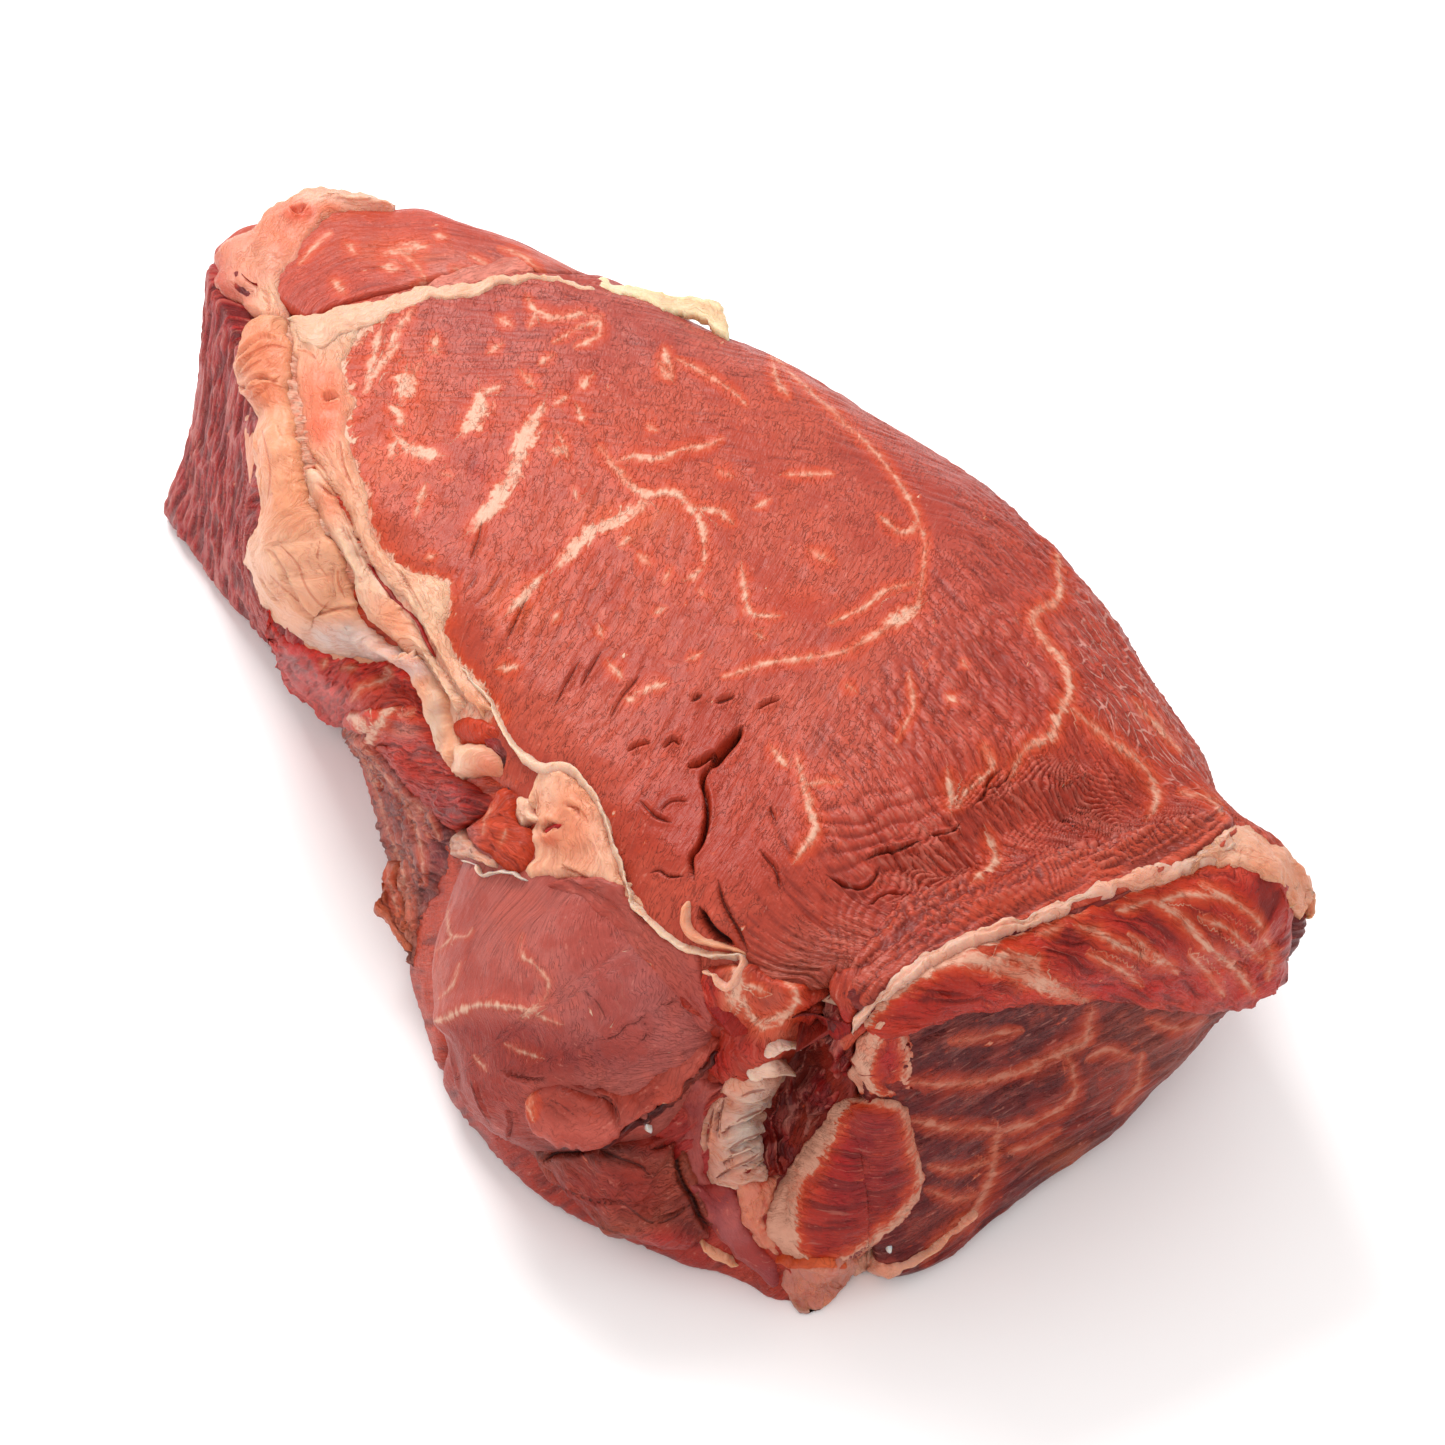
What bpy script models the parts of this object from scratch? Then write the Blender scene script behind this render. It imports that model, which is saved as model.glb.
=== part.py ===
"""A raw, boneless beef rib roast: one solid joint of meat that rests on its flat underside.

The joint is modelled as the trimmed block it is. A flat cut underside, a leaning side all round
and a broad cut face on top are worked out from named stations that stand round the block.
Rounded lumps are joined on where fat or a muscle swells out, and three openings are cut in.
Lengths are in millimetres until the meshes are made, +Z is up and +X is the long axis.
"""

import bpy
import numpy as np

MM = 0.001
LENGTH_COLUMNS = 46
WIDTH_ROWS = 26
SIDE_TIERS = 9
FOOT_ROUND = 5.0
FACE_HEIGHT = 81.0
FACE_FALL = 0.03
FACE_CROWN = 2.5
FACE_CROWN_WIDTH = 40.0
VALLEY_PLACE = 106.0
VALLEY_WIDTH = 13.0
VALLEY_DEPTH = 5.0
CENTRE = (0.76, -1.01)
MEAT_COLOUR = (0.42, 0.075, 0.06, 1.0)
MEAT_ROUGHNESS = 0.45

# Each station is one place round the block: where its side meets the underside (x, y), the point
# halfway up the side (x, y, z), the rim of the cut face (x, y, z), and how far in from the rim
# the face is still rounded over.
STATIONS = {
    "far_corner": ((-130, -58), (-119, -50, 41), (-115, -44, 79), 8),
    "left_wall": ((-108, -57), (-98, -57, 38), (-90, -51, 77), 10),
    "fat_top": ((-90, -56), (-80, -59, 34), (-68, -58, 68), 16),
    "fat_belly": ((-76, -55), (-66, -61, 27), (-54, -67, 54), 24),
    "silverskin": ((-58, -54), (-46, -61, 26), (-34, -68, 50), 24),
    "shelf": ((-36, -55), (-26, -60, 28), (-12, -62, 52), 20),
    "notch": ((-4, -63), (4, -64, 26), (18, -60, 54), 18),
    "under_lobe": ((40, -73), (44, -77, 20), (46, -64, 50), 26),
    "lobe_corner": ((82, -75), (84, -76, 16), (80, -60, 46), 26),
    "low_front": ((108, -62), (108, -59, 20), (104, -46, 52), 18),
    "tip": ((134, -45), (124, -45, 22), (112, -38, 64), 12),
    "front_fat": ((135, -29), (130, -27, 40), (124, -28, 72), 8),
    "front_mid": ((133, -6), (130, -1, 42), (126, -8, 77), 8),
    "front_right": ((126, 16), (130, 24, 46), (127, 16, 78), 8),
    "flap_near": ((116, 37), (131, 46, 46), (125, 38, 76), 8),
    "flap_end": ((104, 55), (132, 62, 51), (120, 56, 73), 10),
    "flap_back": ((86, 66), (99, 73, 40), (92, 64, 59), 26),
    "right_near": ((56, 71), (60, 80, 32), (58, 72, 55), 36),
    "right_mid": ((22, 72), (24, 81, 32), (24, 74, 52), 40),
    "right_far": ((-20, 62), (-20, 71, 34), (-18, 63, 53), 36),
    "far_right": ((-60, 44), (-60, 51, 38), (-56, 42, 59), 28),
    "back_corner": ((-98, 26), (-96, 29, 40), (-88, 18, 67), 14),
    "far_end": ((-124, 2), (-119, 2, 40), (-109, -4, 74), 10),
    "far_left": ((-136, -30), (-130, -29, 40), (-121, -21, 77), 9),
}
FACE_CORNERS = ("far_corner", "lobe_corner", "flap_end", "back_corner")

# A lump is carried along a path. Each step of it is (x, y, z, half width, half height), and
# outward is the side that the half height is measured on.
LUMPS = {
    "front_lobe": {
        "outward": (0.42, -0.74, 0.52),
        "steps": ((48, -62, 60, 9, 5), (60, -62, 55, 21, 13), (74, -61, 46, 28, 18),
                  (87, -60, 36, 27, 16), (96, -59, 27, 15, 9)),
    },
    "chin": {
        "outward": (0.6, -0.75, 0.2),
        "steps": ((78, -70, 16, 7, 6), (90, -66, 16, 12, 11), (103, -59, 15, 12, 11),
                  (114, -52, 13, 7, 6)),
    },
    "left_fat": {
        "outward": (0.1, -0.75, 0.65),
        "steps": ((-92, -43, 76, 5, 4), (-78, -47, 72, 11, 7), (-62, -54, 67, 14, 9),
                  (-44, -59, 60, 14, 10), (-22, -59, 56, 12, 9), (2, -56, 59, 9, 7),
                  (26, -56, 66, 5, 4)),
    },
    "corner_fat": {
        "outward": (0.0, -0.2, 1.0),
        "steps": ((-116, -42, 75, 5, 6), (-115, -32, 77, 7, 7), (-113, -18, 76, 5, 6)),
    },
    "tendon": {
        "outward": (0.3, -0.5, 0.8),
        "steps": ((14, -57, 72, 3, 3), (34, -54, 73, 5, 4), (54, -51, 73, 6, 5),
                  (72, -50, 71, 6, 5), (88, -46, 69, 5, 5), (100, -42, 66, 5, 5)),
    },
    "cavity_fat": {
        "outward": (0.6, -0.7, 0.4),
        "steps": ((98, -42, 68, 4, 4), (106, -43, 60, 6, 6), (109, -46, 48, 7, 7),
                  (111, -49, 36, 7, 7), (116, -49, 24, 6, 6), (126, -47, 10, 7, 6)),
    },
    "lip": {
        "outward": (1.0, 0.0, 0.35),
        "steps": ((117, -34, 60, 5, 5), (119, -26, 68, 9, 8), (119, -6, 70, 11, 11),
                  (120, 16, 69, 12, 12), (121, 36, 67, 12, 13), (124, 53, 64, 11, 13)),
    },
    "front_patch": {
        "outward": (1.0, -0.2, 0.1),
        "steps": ((119, -30, 58, 6, 5), (121, -28, 48, 11, 10), (122, -30, 32, 14, 12),
                  (123, -34, 16, 10, 9)),
    },
}
LUMP_STEPS = 14
LUMP_SIDES = 16

# A cut is carried along a path too: (x, y, z, half width, half depth).
CUTS = {
    "cavity": {
        "outward": (0.9, -0.5, 0.4),
        "steps": ((111, -37, 74, 3, 9), (117, -36, 64, 5, 14), (120, -38, 52, 6, 16),
                  (122, -41, 40, 4, 12), (122, -44, 30, 2, 6)),
    },
    "gash": {
        "outward": (0.1, 0.0, 1.0),
        "steps": ((56, -16, 81, 1, 3), (62, -23, 81, 2, 7), (74, -33, 80, 1.6, 7),
                  (88, -42, 76, 1, 3)),
    },
    "hollow": {
        "outward": (0.1, -0.8, 0.5),
        "steps": ((22, -64, 56, 2, 4), (32, -62, 58, 6, 7), (42, -61, 60, 2, 4)),
    },
}

def closed_spline(values, stops):
    """A Catmull-Rom curve through the values, closed on itself, at fractional places."""
    values = np.asarray(values, float)
    start = np.floor(stops).astype(int)
    part = stops - start
    if values.ndim > 1:
        part = part[:, None]
    before, here, after, beyond = (values[(start + k) % len(values)] for k in (-1, 0, 1, 2))
    return here + 0.5 * part * (after - before + part * (
        2 * before - 5 * here + 4 * after - beyond
        + part * (3 * here - before - 3 * after + beyond)))


def open_spline(values, stops):
    """The same curve with free ends, which run straight out."""
    values = np.asarray(values, float)
    padded = np.vstack([2 * values[0] - values[1], values, 2 * values[-1] - values[-2]])
    start = np.clip(np.floor(stops).astype(int), 0, len(values) - 2)
    part = (stops - start)[:, None]
    before, here, after, beyond = (padded[start + k] for k in range(4))
    return here + 0.5 * part * (after - before + part * (
        2 * before - 5 * here + 4 * after - beyond
        + part * (3 * here - before - 3 * after + beyond)))


def rim_stops():
    """Places round the stations, evenly spaced along each of the rim's four sides."""
    names = list(STATIONS)
    corners = [names.index(name) for name in FACE_CORNERS] + [len(names)]
    rim = np.array([station[2][:2] for station in STATIONS.values()], float)
    fine = np.linspace(0, len(names), 40 * len(names) + 1)
    steps = np.linalg.norm(np.diff(closed_spline(rim, fine), axis=0), axis=1)
    travelled = np.concatenate([[0.0], np.cumsum(steps)])
    stops = []
    for side, count in enumerate((LENGTH_COLUMNS, WIDTH_ROWS, LENGTH_COLUMNS, WIDTH_ROWS)):
        ends = np.interp(corners[side:side + 2], fine, travelled)
        stops.append(np.interp(np.linspace(*ends, count + 1)[:-1], travelled, fine))
    return np.concatenate(stops)


def face_plan(rim):
    """A grid stretched across the rim: opposite sides are blended and their corners taken off."""
    ring = np.vstack([rim, rim[:1]])
    turn = LENGTH_COLUMNS + WIDTH_ROWS
    left = ring[:LENGTH_COLUMNS + 1]
    near = ring[LENGTH_COLUMNS:turn + 1]
    right = ring[turn:turn + LENGTH_COLUMNS + 1][::-1]
    far = ring[turn + LENGTH_COLUMNS:][::-1]
    along = np.linspace(0, 1, LENGTH_COLUMNS + 1)[:, None, None]
    across = np.linspace(0, 1, WIDTH_ROWS + 1)[None, :, None]
    sides = (1 - across) * left[:, None] + across * right[:, None]
    ends = (1 - along) * far[None] + along * near[None]
    corners = ((1 - along) * ((1 - across) * left[0] + across * right[0])
               + along * ((1 - across) * left[-1] + across * right[-1]))
    return sides + ends - corners


def face_height(plan, rim, shoulder):
    """The crowned, gently falling cut face, rounded over towards the rim's own height."""
    spread = ((plan[:, None] - rim[None, :, :2]) ** 2).sum(-1)
    weight = 1.0 / (spread + 4.0) ** 2
    weight /= weight.sum(1, keepdims=True)
    middle = (FACE_HEIGHT - FACE_FALL * np.clip(plan[:, 0] + 20, 0, None)
              + FACE_CROWN * np.exp(-(plan[:, 1] / FACE_CROWN_WIDTH) ** 2)
              - VALLEY_DEPTH * np.exp(-((plan[:, 0] - VALLEY_PLACE) / VALLEY_WIDTH) ** 2))
    edge = weight @ rim[:, 2]
    inward = np.clip(np.sqrt(spread.min(1)) / (weight @ shoulder), 0, 1)
    return edge + (middle - edge) * np.sqrt(1 - (1 - inward) ** 2)


def side_tiers(rim, knee, base):
    """Rows down the side: a curve through rim, knee and base, tucked in at the foot."""
    part = np.linspace(0, 1, SIDE_TIERS + 1)[1:, None, None]
    foot = np.column_stack([base, np.zeros(len(base))])
    rows = (rim * (1 - part) * (1 - 2 * part) + knee * 4 * part * (1 - part)
            + foot * part * (2 * part - 1))
    inward = base - base.mean(0)
    inward /= np.linalg.norm(inward, axis=1, keepdims=True)
    low = np.clip(1 - rows[..., 2] / FOOT_ROUND, 0, 1)
    rows[..., :2] -= (FOOT_ROUND * (1 - np.sqrt(1 - low ** 2)))[..., None] * inward
    rows[..., 2] = np.clip(rows[..., 2], 0, None)
    return rows


def block_mesh():
    """Vertices and faces of the block: face grid, side rows, and one flat face below."""
    stops = rim_stops()
    base, knee, rim, shoulder = (closed_spline([station[k] for station in STATIONS.values()], stops)
                                 for k in range(4))
    plan = face_plan(rim[:, :2]).reshape(-1, 2)
    face = np.column_stack([plan, face_height(plan, rim, shoulder)])
    high_column, high_row = LENGTH_COLUMNS, WIDTH_ROWS
    column = np.concatenate([np.arange(high_column), np.full(high_row, high_column),
                             np.arange(high_column, 0, -1), np.zeros(high_row, int)])
    row = np.concatenate([np.zeros(high_column, int), np.arange(high_row),
                          np.full(high_column, high_row), np.arange(high_row, 0, -1)])
    ring = column * (high_row + 1) + row
    face[ring, 2] = rim[:, 2]
    corner = (np.arange(high_column)[:, None] * (high_row + 1) + np.arange(high_row)).ravel()
    faces = np.column_stack([corner, corner + high_row + 1, corner + high_row + 2,
                             corner + 1]).tolist()
    points = [face]
    start = len(face)
    for tier in side_tiers(rim, knee, base):
        lower = start + np.arange(len(tier))
        faces += np.column_stack([ring, lower, np.roll(lower, -1), np.roll(ring, -1)]).tolist()
        points.append(tier)
        ring = lower
        start += len(tier)
    faces.append(ring[::-1].tolist())
    return np.vstack(points), faces


def lump_mesh(steps, outward):
    """A closed sausage along a path: an ellipse at each step, drawn in to a point at both ends."""
    stops = np.linspace(0, len(steps) - 1, LUMP_STEPS + 1)
    values = open_spline(steps, stops)
    middle, width, height = values[:, :3], values[:, 3], values[:, 4]
    ahead = np.gradient(middle, axis=0)
    ahead /= np.linalg.norm(ahead, axis=1, keepdims=True)
    across = np.cross(np.asarray(outward, float), ahead)
    across /= np.linalg.norm(across, axis=1, keepdims=True)
    up = np.cross(ahead, across)
    turn = np.linspace(0, 2 * np.pi, LUMP_SIDES, endpoint=False)
    ends = ahead * width[:, None] * 0.5
    rings = (middle[:, None] + across[:, None] * (width[:, None] * np.cos(turn))[..., None]
             + up[:, None] * (height[:, None] * np.sin(turn))[..., None])
    points = np.vstack([rings.reshape(-1, 3), middle[0] - ends[0], middle[-1] + ends[-1]])
    faces = []
    first, last = len(points) - 2, len(points) - 1
    for side in range(LUMP_SIDES):
        following = (side + 1) % LUMP_SIDES
        for step in range(LUMP_STEPS):
            low, high = step * LUMP_SIDES, (step + 1) * LUMP_SIDES
            faces.append((low + side, low + following, high + following, high + side))
        top = LUMP_STEPS * LUMP_SIDES
        faces.append((first, following, side))
        faces.append((last, top + side, top + following))
    return points, faces


def add_object(name, points, faces):
    """Makes a mesh object from millimetre points, moved so that the middle is the origin."""
    mesh = bpy.data.meshes.new(name)
    mesh.from_pydata(((points - (*CENTRE, 0.0)) * MM).tolist(), [], faces)
    mesh.update()
    solid = bpy.data.objects.new(name, mesh)
    bpy.context.collection.objects.link(solid)
    return solid


def add_tool(roast, name, shape, operation):
    """Joins a lump to the roast, or cuts it away."""
    tool = add_object(name, *lump_mesh(shape["steps"], shape["outward"]))
    tool.hide_render = True
    tool.display_type = "WIRE"
    boolean = roast.modifiers.new(name, "BOOLEAN")
    boolean.operation = operation
    boolean.solver = "EXACT"
    boolean.object = tool


def meat_material():
    """Moist raw meat in its middle red."""
    material = bpy.data.materials.new("raw_meat")
    material.use_nodes = True
    shader = material.node_tree.nodes["Principled BSDF"]
    shader.inputs["Base Color"].default_value = MEAT_COLOUR
    shader.inputs["Roughness"].default_value = MEAT_ROUGHNESS
    shader.inputs["Metallic"].default_value = 0.0
    return material


def build():
    """Clears the scene and makes the roast."""
    for existing in list(bpy.data.objects):
        bpy.data.objects.remove(existing, do_unlink=True)
    roast = add_object("roast", *block_mesh())
    for name, shape in LUMPS.items():
        add_tool(roast, name, shape, "UNION")
    for name, shape in CUTS.items():
        add_tool(roast, name, shape, "DIFFERENCE")
    roast.data.materials.append(meat_material())
    roast.data.shade_smooth()


build()
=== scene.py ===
import math

import bpy
import numpy as np
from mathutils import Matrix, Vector


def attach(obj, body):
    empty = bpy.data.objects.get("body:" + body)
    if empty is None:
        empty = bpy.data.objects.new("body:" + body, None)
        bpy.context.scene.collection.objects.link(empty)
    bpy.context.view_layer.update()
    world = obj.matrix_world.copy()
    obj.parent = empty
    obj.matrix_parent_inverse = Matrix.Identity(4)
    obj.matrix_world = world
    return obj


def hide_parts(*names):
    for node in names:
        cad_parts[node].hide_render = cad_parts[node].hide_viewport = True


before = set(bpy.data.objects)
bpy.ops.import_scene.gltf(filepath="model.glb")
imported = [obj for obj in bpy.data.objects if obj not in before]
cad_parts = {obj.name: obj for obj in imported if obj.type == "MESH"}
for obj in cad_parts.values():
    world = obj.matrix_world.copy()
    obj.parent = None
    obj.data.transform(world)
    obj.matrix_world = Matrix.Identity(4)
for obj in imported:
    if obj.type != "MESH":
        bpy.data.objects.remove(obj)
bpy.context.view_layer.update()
mm = 0.001
bpy.context.scene.view_settings.view_transform = "Standard"


def hashNoise(points, seed):  # lattice values blended with a quintic fade, from -1 to 1
    cell = np.floor(points).astype(np.int64)
    part = points - cell
    fade = part ** 3 * (part * (part * 6 - 15) + 10)
    total = np.zeros(len(points))
    for corner in range(8):
        step = np.array([corner & 1, corner >> 1 & 1, corner >> 2])
        key = (cell + step) @ np.array([374761393, 668265263, 2147483647]) + seed * 974634777
        key = (key ^ (key >> 13)) * 1274126177 & 0x7FFFFFFF
        key = (key ^ (key >> 16)) * 668265263 & 0x7FFFFFFF
        weight = np.prod(np.where(step, fade, 1 - fade), axis=1)
        total += weight * ((key ^ (key >> 15)) & 0xFFFF) / 32767.5
    return total - 1


def layeredNoise(points, size, octaves=3, seed=1):  # each octave is half the size and half the height
    flat = np.asarray(points, float).reshape(-1, points.shape[-1])
    if flat.shape[1] == 2:
        flat = np.column_stack([flat, np.zeros(len(flat))])
    total = np.zeros(len(flat))
    for octave in range(octaves):
        total += hashNoise(flat * (2 ** octave / np.asarray(size, float)), seed + octave) * 0.5 ** octave
    return total.reshape(points.shape[:-1])


def smoothCurve(values, stops):  # Catmull-Rom with free ends
    values = np.asarray(values, float)
    padded = np.concatenate([[2 * values[0] - values[1]], values, [2 * values[-1] - values[-2]]])
    start = np.clip(np.floor(stops).astype(int), 0, len(values) - 2)
    part = (stops - start).reshape(-1, *[1] * (values.ndim - 1))
    before, here, after, beyond = (padded[start + k] for k in range(4))
    return here + 0.5 * part * (after - before + part * (
        2 * before - 5 * here + 4 * after - beyond + part * (3 * here - before - 3 * after + beyond)))


def evenCurve(values, count):  # the same curve at even spacing along its length
    fine = smoothCurve(values, np.linspace(0, len(values) - 1, 24 * len(values)))
    travelled = np.concatenate([[0], np.cumsum(np.linalg.norm(np.diff(fine[:, :3], axis=0), axis=1))])
    places = np.linspace(0, travelled[-1], count)
    return np.column_stack([np.interp(places, travelled, column) for column in fine.T])


def closedCurve(values, stops):  # Catmull-Rom closed on itself
    values = np.asarray(values, float)
    start = np.floor(stops).astype(int)
    part = stops - start
    if values.ndim > 1:
        part = part[:, None]
    before, here, after, beyond = (values[(start + k) % len(values)] for k in (-1, 0, 1, 2))
    return here + 0.5 * part * (after - before + part * (
        2 * before - 5 * here + 4 * after - beyond + part * (3 * here - before - 3 * after + beyond)))


def ramp(values, low, high):  # smooth step from 0 at low to 1 at high
    part = np.clip((values - low) / (high - low), 0, 1)
    return part * part * (3 - 2 * part)


def srgb(red, green, blue):  # a colour as seen on a screen, from 0 to 255, made linear
    value = np.array([red, green, blue]) / 255
    return np.where(value < 0.04045, value / 12.92, ((value + 0.055) / 1.055) ** 2.4)


# The photograph's frame: places in it are pixels of its square picture, and all other lengths are millimetres
view = {"azimuth": 60.0, "elevation": 47.0, "distance": 850.0, "lens": 105.0, "sensor": 36.0,
        "aim": (23.0, 0.0, 40.0), "photoSide": 1445}
light = {"sheen": 0.06, "level": 1.36,  # what the gloss adds to every colour, and how bright full light is
         "facing": (-0.05, 0.12)}  # turned away from the camera, and turned to it
turn, tilt = math.radians(view["azimuth"]), math.radians(view["elevation"])
viewBack = np.array([math.sin(turn) * math.cos(tilt), -math.cos(turn) * math.cos(tilt), math.sin(tilt)])
viewRight = np.array([math.cos(turn), math.sin(turn), 0])
viewUp = np.cross(viewBack, viewRight)
viewStand = np.array(view["aim"]) + viewBack * view["distance"]
viewFocal = view["lens"] / view["sensor"] * view["photoSide"]
viewHalf = view["photoSide"] / 2
pixel = view["distance"] / viewFocal  # millimetres across the view for each pixel


def spots(flat):  # a drawn line's places of the photograph, written x, y, x, y and so on
    return np.reshape(flat, (-1, 2)).astype(float)


def toPhoto(points):  # where points stand in the photograph, and their depth from the camera
    offset = points - viewStand
    depth = -(offset @ viewBack)
    return np.stack([viewHalf + viewFocal * (offset @ viewRight) / depth,
                     viewHalf - viewFocal * (offset @ viewUp) / depth], axis=-1), depth


def fromPhoto(place, depth):  # the point at a place of the photograph and a depth
    across, down = (place[..., k, None] - viewHalf for k in range(2))
    sight = across / viewFocal * viewRight - down / viewFocal * viewUp - viewBack
    return viewStand + depth[..., None] * sight


nudges = [  # a place of the photograph, how far what lies there moves over it, and how wide: all pixels
    (1240, 800, -14, 9, 40), (1120, 1110, 9, 11, 80), (1190, 1055, 6, 7, 50), (855, 1296, -2, -20, 32),
    (735, 1284, 0, -10, 38), (440, 1090, -10, 6, 70), (412, 985, -5, 1, 40), (180, 430, 8, 0, 80),
    (880, 415, -5, 7, 90), (700, 310, -2, 6, 70), (1030, 545, -4, 5, 60), (278, 690, 7, -4, 30),
    (425, 208, 2, -9, 36), (580, 262, -1, 6, 50), (1302, 935, 9, 4, 40), (930, 1250, 4, 4, 40),
    (230, 590, -4, 4, 60), (560, 1215, 2, -5, 60), (806, 1312, 0, -14, 28), (860, 1290, 0, -8, 24),
    (846, 1302, -6, -12, 20),
]


def nudged(points):  # moved level with the floor, so that each nudge shows in the photograph as it is written
    flat = points.reshape(-1, 3)
    place = toPhoto(flat)[0]
    shift = np.zeros((len(flat), 2))
    for x, y, right, down, reach in nudges:
        shift += np.exp(-((place - (x, y)) ** 2).sum(1) / reach ** 2)[:, None] * (right, down)
    level = np.linalg.inv([viewRight[:2], -viewUp[:2]])
    return (flat + np.column_stack([shift @ level.T * pixel, np.zeros(len(flat))])).reshape(points.shape)


def lineDistance(place, line):  # signed side distance, plain distance and share of the way along
    best = np.full(len(place), 1e9)
    side = np.zeros(len(place))
    share = np.zeros(len(place))
    line = np.asarray(line, float)
    lengths = np.linalg.norm(np.diff(line, axis=0), axis=1)
    done = np.concatenate([[0], np.cumsum(lengths)]) / lengths.sum()
    for k, (start, end) in enumerate(zip(line, line[1:])):
        way = end - start
        offset = place - start
        along = np.clip(offset @ way / (way @ way), 0, 1)
        away = offset - along[:, None] * way
        distance = np.hypot(away[:, 0], away[:, 1])
        nearer = distance < best
        best = np.where(nearer, distance, best)
        turned = way[0] * offset[:, 1] - way[1] * offset[:, 0]
        side = np.where(nearer, np.sign(turned) * distance, side)
        share = np.where(nearer, done[k] + along * (done[k + 1] - done[k]), share)
    return side, best, share


def insideOutline(place, outline):  # how far inside a closed outline, negative outside
    outline = spots(outline)
    inside = np.zeros(len(place), bool)
    for (x0, y0), (x1, y1) in zip(outline, np.roll(outline, -1, axis=0)):
        crosses = (y0 > place[:, 1]) != (y1 > place[:, 1])
        inside ^= crosses & (place[:, 0] < (x1 - x0) * (place[:, 1] - y0) / (y1 - y0 + 1e-9) + x0)
    distance = lineDistance(place, np.vstack([outline, outline[:1]]))[1]
    return np.where(inside, distance, -distance)


block = {  # each station: foot (x, y), knee (x, y, z), rim (x, y, z) and how wide its shoulder is
    "stations": {
        "farCorner": ((-130, -58), (-119, -50, 41), (-115, -44, 79), 8),
        "leftWall": ((-108, -57), (-98, -57, 38), (-90, -51, 77), 10),
        "fatTop": ((-90, -56), (-80, -59, 34), (-68, -58, 68), 16),
        "fatBelly": ((-76, -55), (-66, -61, 27), (-54, -67, 54), 24),
        "silverskin": ((-58, -54), (-46, -61, 26), (-34, -68, 50), 24),
        "shelf": ((-36, -55), (-26, -60, 28), (-12, -62, 52), 20),
        "notch": ((-4, -63), (4, -64, 26), (18, -60, 54), 18),
        "underLobe": ((40, -73), (44, -77, 20), (46, -64, 50), 26),
        "lobeCorner": ((82, -75), (84, -76, 16), (80, -60, 46), 26),
        "lowFront": ((108, -62), (108, -59, 20), (104, -46, 52), 18),
        "tip": ((134, -45), (124, -45, 22), (112, -38, 64), 12),
        "frontFat": ((135, -29), (130, -27, 40), (124, -28, 72), 8),
        "frontMid": ((133, -6), (130, -1, 42), (126, -8, 77), 8),
        "frontRight": ((126, 16), (130, 24, 46), (127, 16, 78), 8),
        "flapNear": ((116, 37), (131, 46, 46), (125, 38, 76), 8),
        "flapEnd": ((104, 55), (132, 62, 51), (120, 56, 73), 10),
        "flapBack": ((86, 66), (99, 73, 40), (92, 64, 59), 26),
        "rightNear": ((56, 71), (60, 80, 32), (58, 72, 55), 36),
        "rightMid": ((22, 72), (24, 81, 32), (24, 74, 52), 40),
        "rightFar": ((-20, 62), (-20, 71, 34), (-18, 63, 53), 36),
        "farRight": ((-60, 44), (-60, 51, 38), (-56, 42, 59), 28),
        "backCorner": ((-98, 26), (-96, 29, 40), (-88, 18, 67), 14),
        "farEnd": ((-124, 2), (-119, 2, 40), (-109, -4, 74), 10),
        "farLeft": ((-136, -30), (-130, -29, 40), (-121, -21, 77), 9),
    },
    "centre": (0.76, -1.01),
    "faceHeight": 81.0,
    "faceFall": 0.03,
    "crown": (2.5, 40.0),  # height and width
    "valley": (106.0, 13.0, 5.0),  # place, width and depth
}
stationTable = list(block["stations"].values())
rimCount = 1440  # samples round the rim
rimStops = np.linspace(0, len(stationTable), rimCount, endpoint=False)
rimFoot, rimKnee, rimEdge, rimShoulder = (
    closedCurve([station[k] for station in stationTable], rimStops) for k in range(4))
rimFoot = np.column_stack([rimFoot, np.zeros(rimCount)])
print("block: rim worked out")


def faceHeight(plan):  # the cut face, crowned and falling, rounded over towards the rim
    every, batch = 4, 8192  # of the rim's samples, and how many points are worked out at a time
    edge = rimEdge[::every]
    ahead = np.roll(edge[:, :2], -1, axis=0) - np.roll(edge[:, :2], 1, axis=0)
    aside = np.column_stack([-ahead[:, 1], ahead[:, 0]]) / np.linalg.norm(ahead, axis=1, keepdims=True)
    height = np.empty(len(plan))
    middle = (block["faceHeight"] - block["faceFall"] * np.clip(plan[:, 0] + 20, 0, None)
              + block["crown"][0] * np.exp(-(plan[:, 1] / block["crown"][1]) ** 2)
              - block["valley"][2] * np.exp(-((plan[:, 0] - block["valley"][0]) / block["valley"][1]) ** 2))
    for first in range(0, len(plan), batch):
        part = slice(first, first + batch)
        spread = ((plan[part, None] - edge[None, :, :2]) ** 2).sum(-1)
        weight = 1.0 / (spread + 4.0) ** 2
        weight /= weight.sum(1, keepdims=True)
        low = weight @ edge[:, 2]
        closest = spread.argmin(1)
        inward = np.abs(((plan[part] - edge[closest, :2]) * aside[closest]).sum(1))
        inward = np.clip(inward / (weight @ rimShoulder[::every]), 0, 1)
        height[part] = low + (middle[part] - low) * np.sqrt(1 - (1 - inward) ** 2)
    return height


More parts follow.
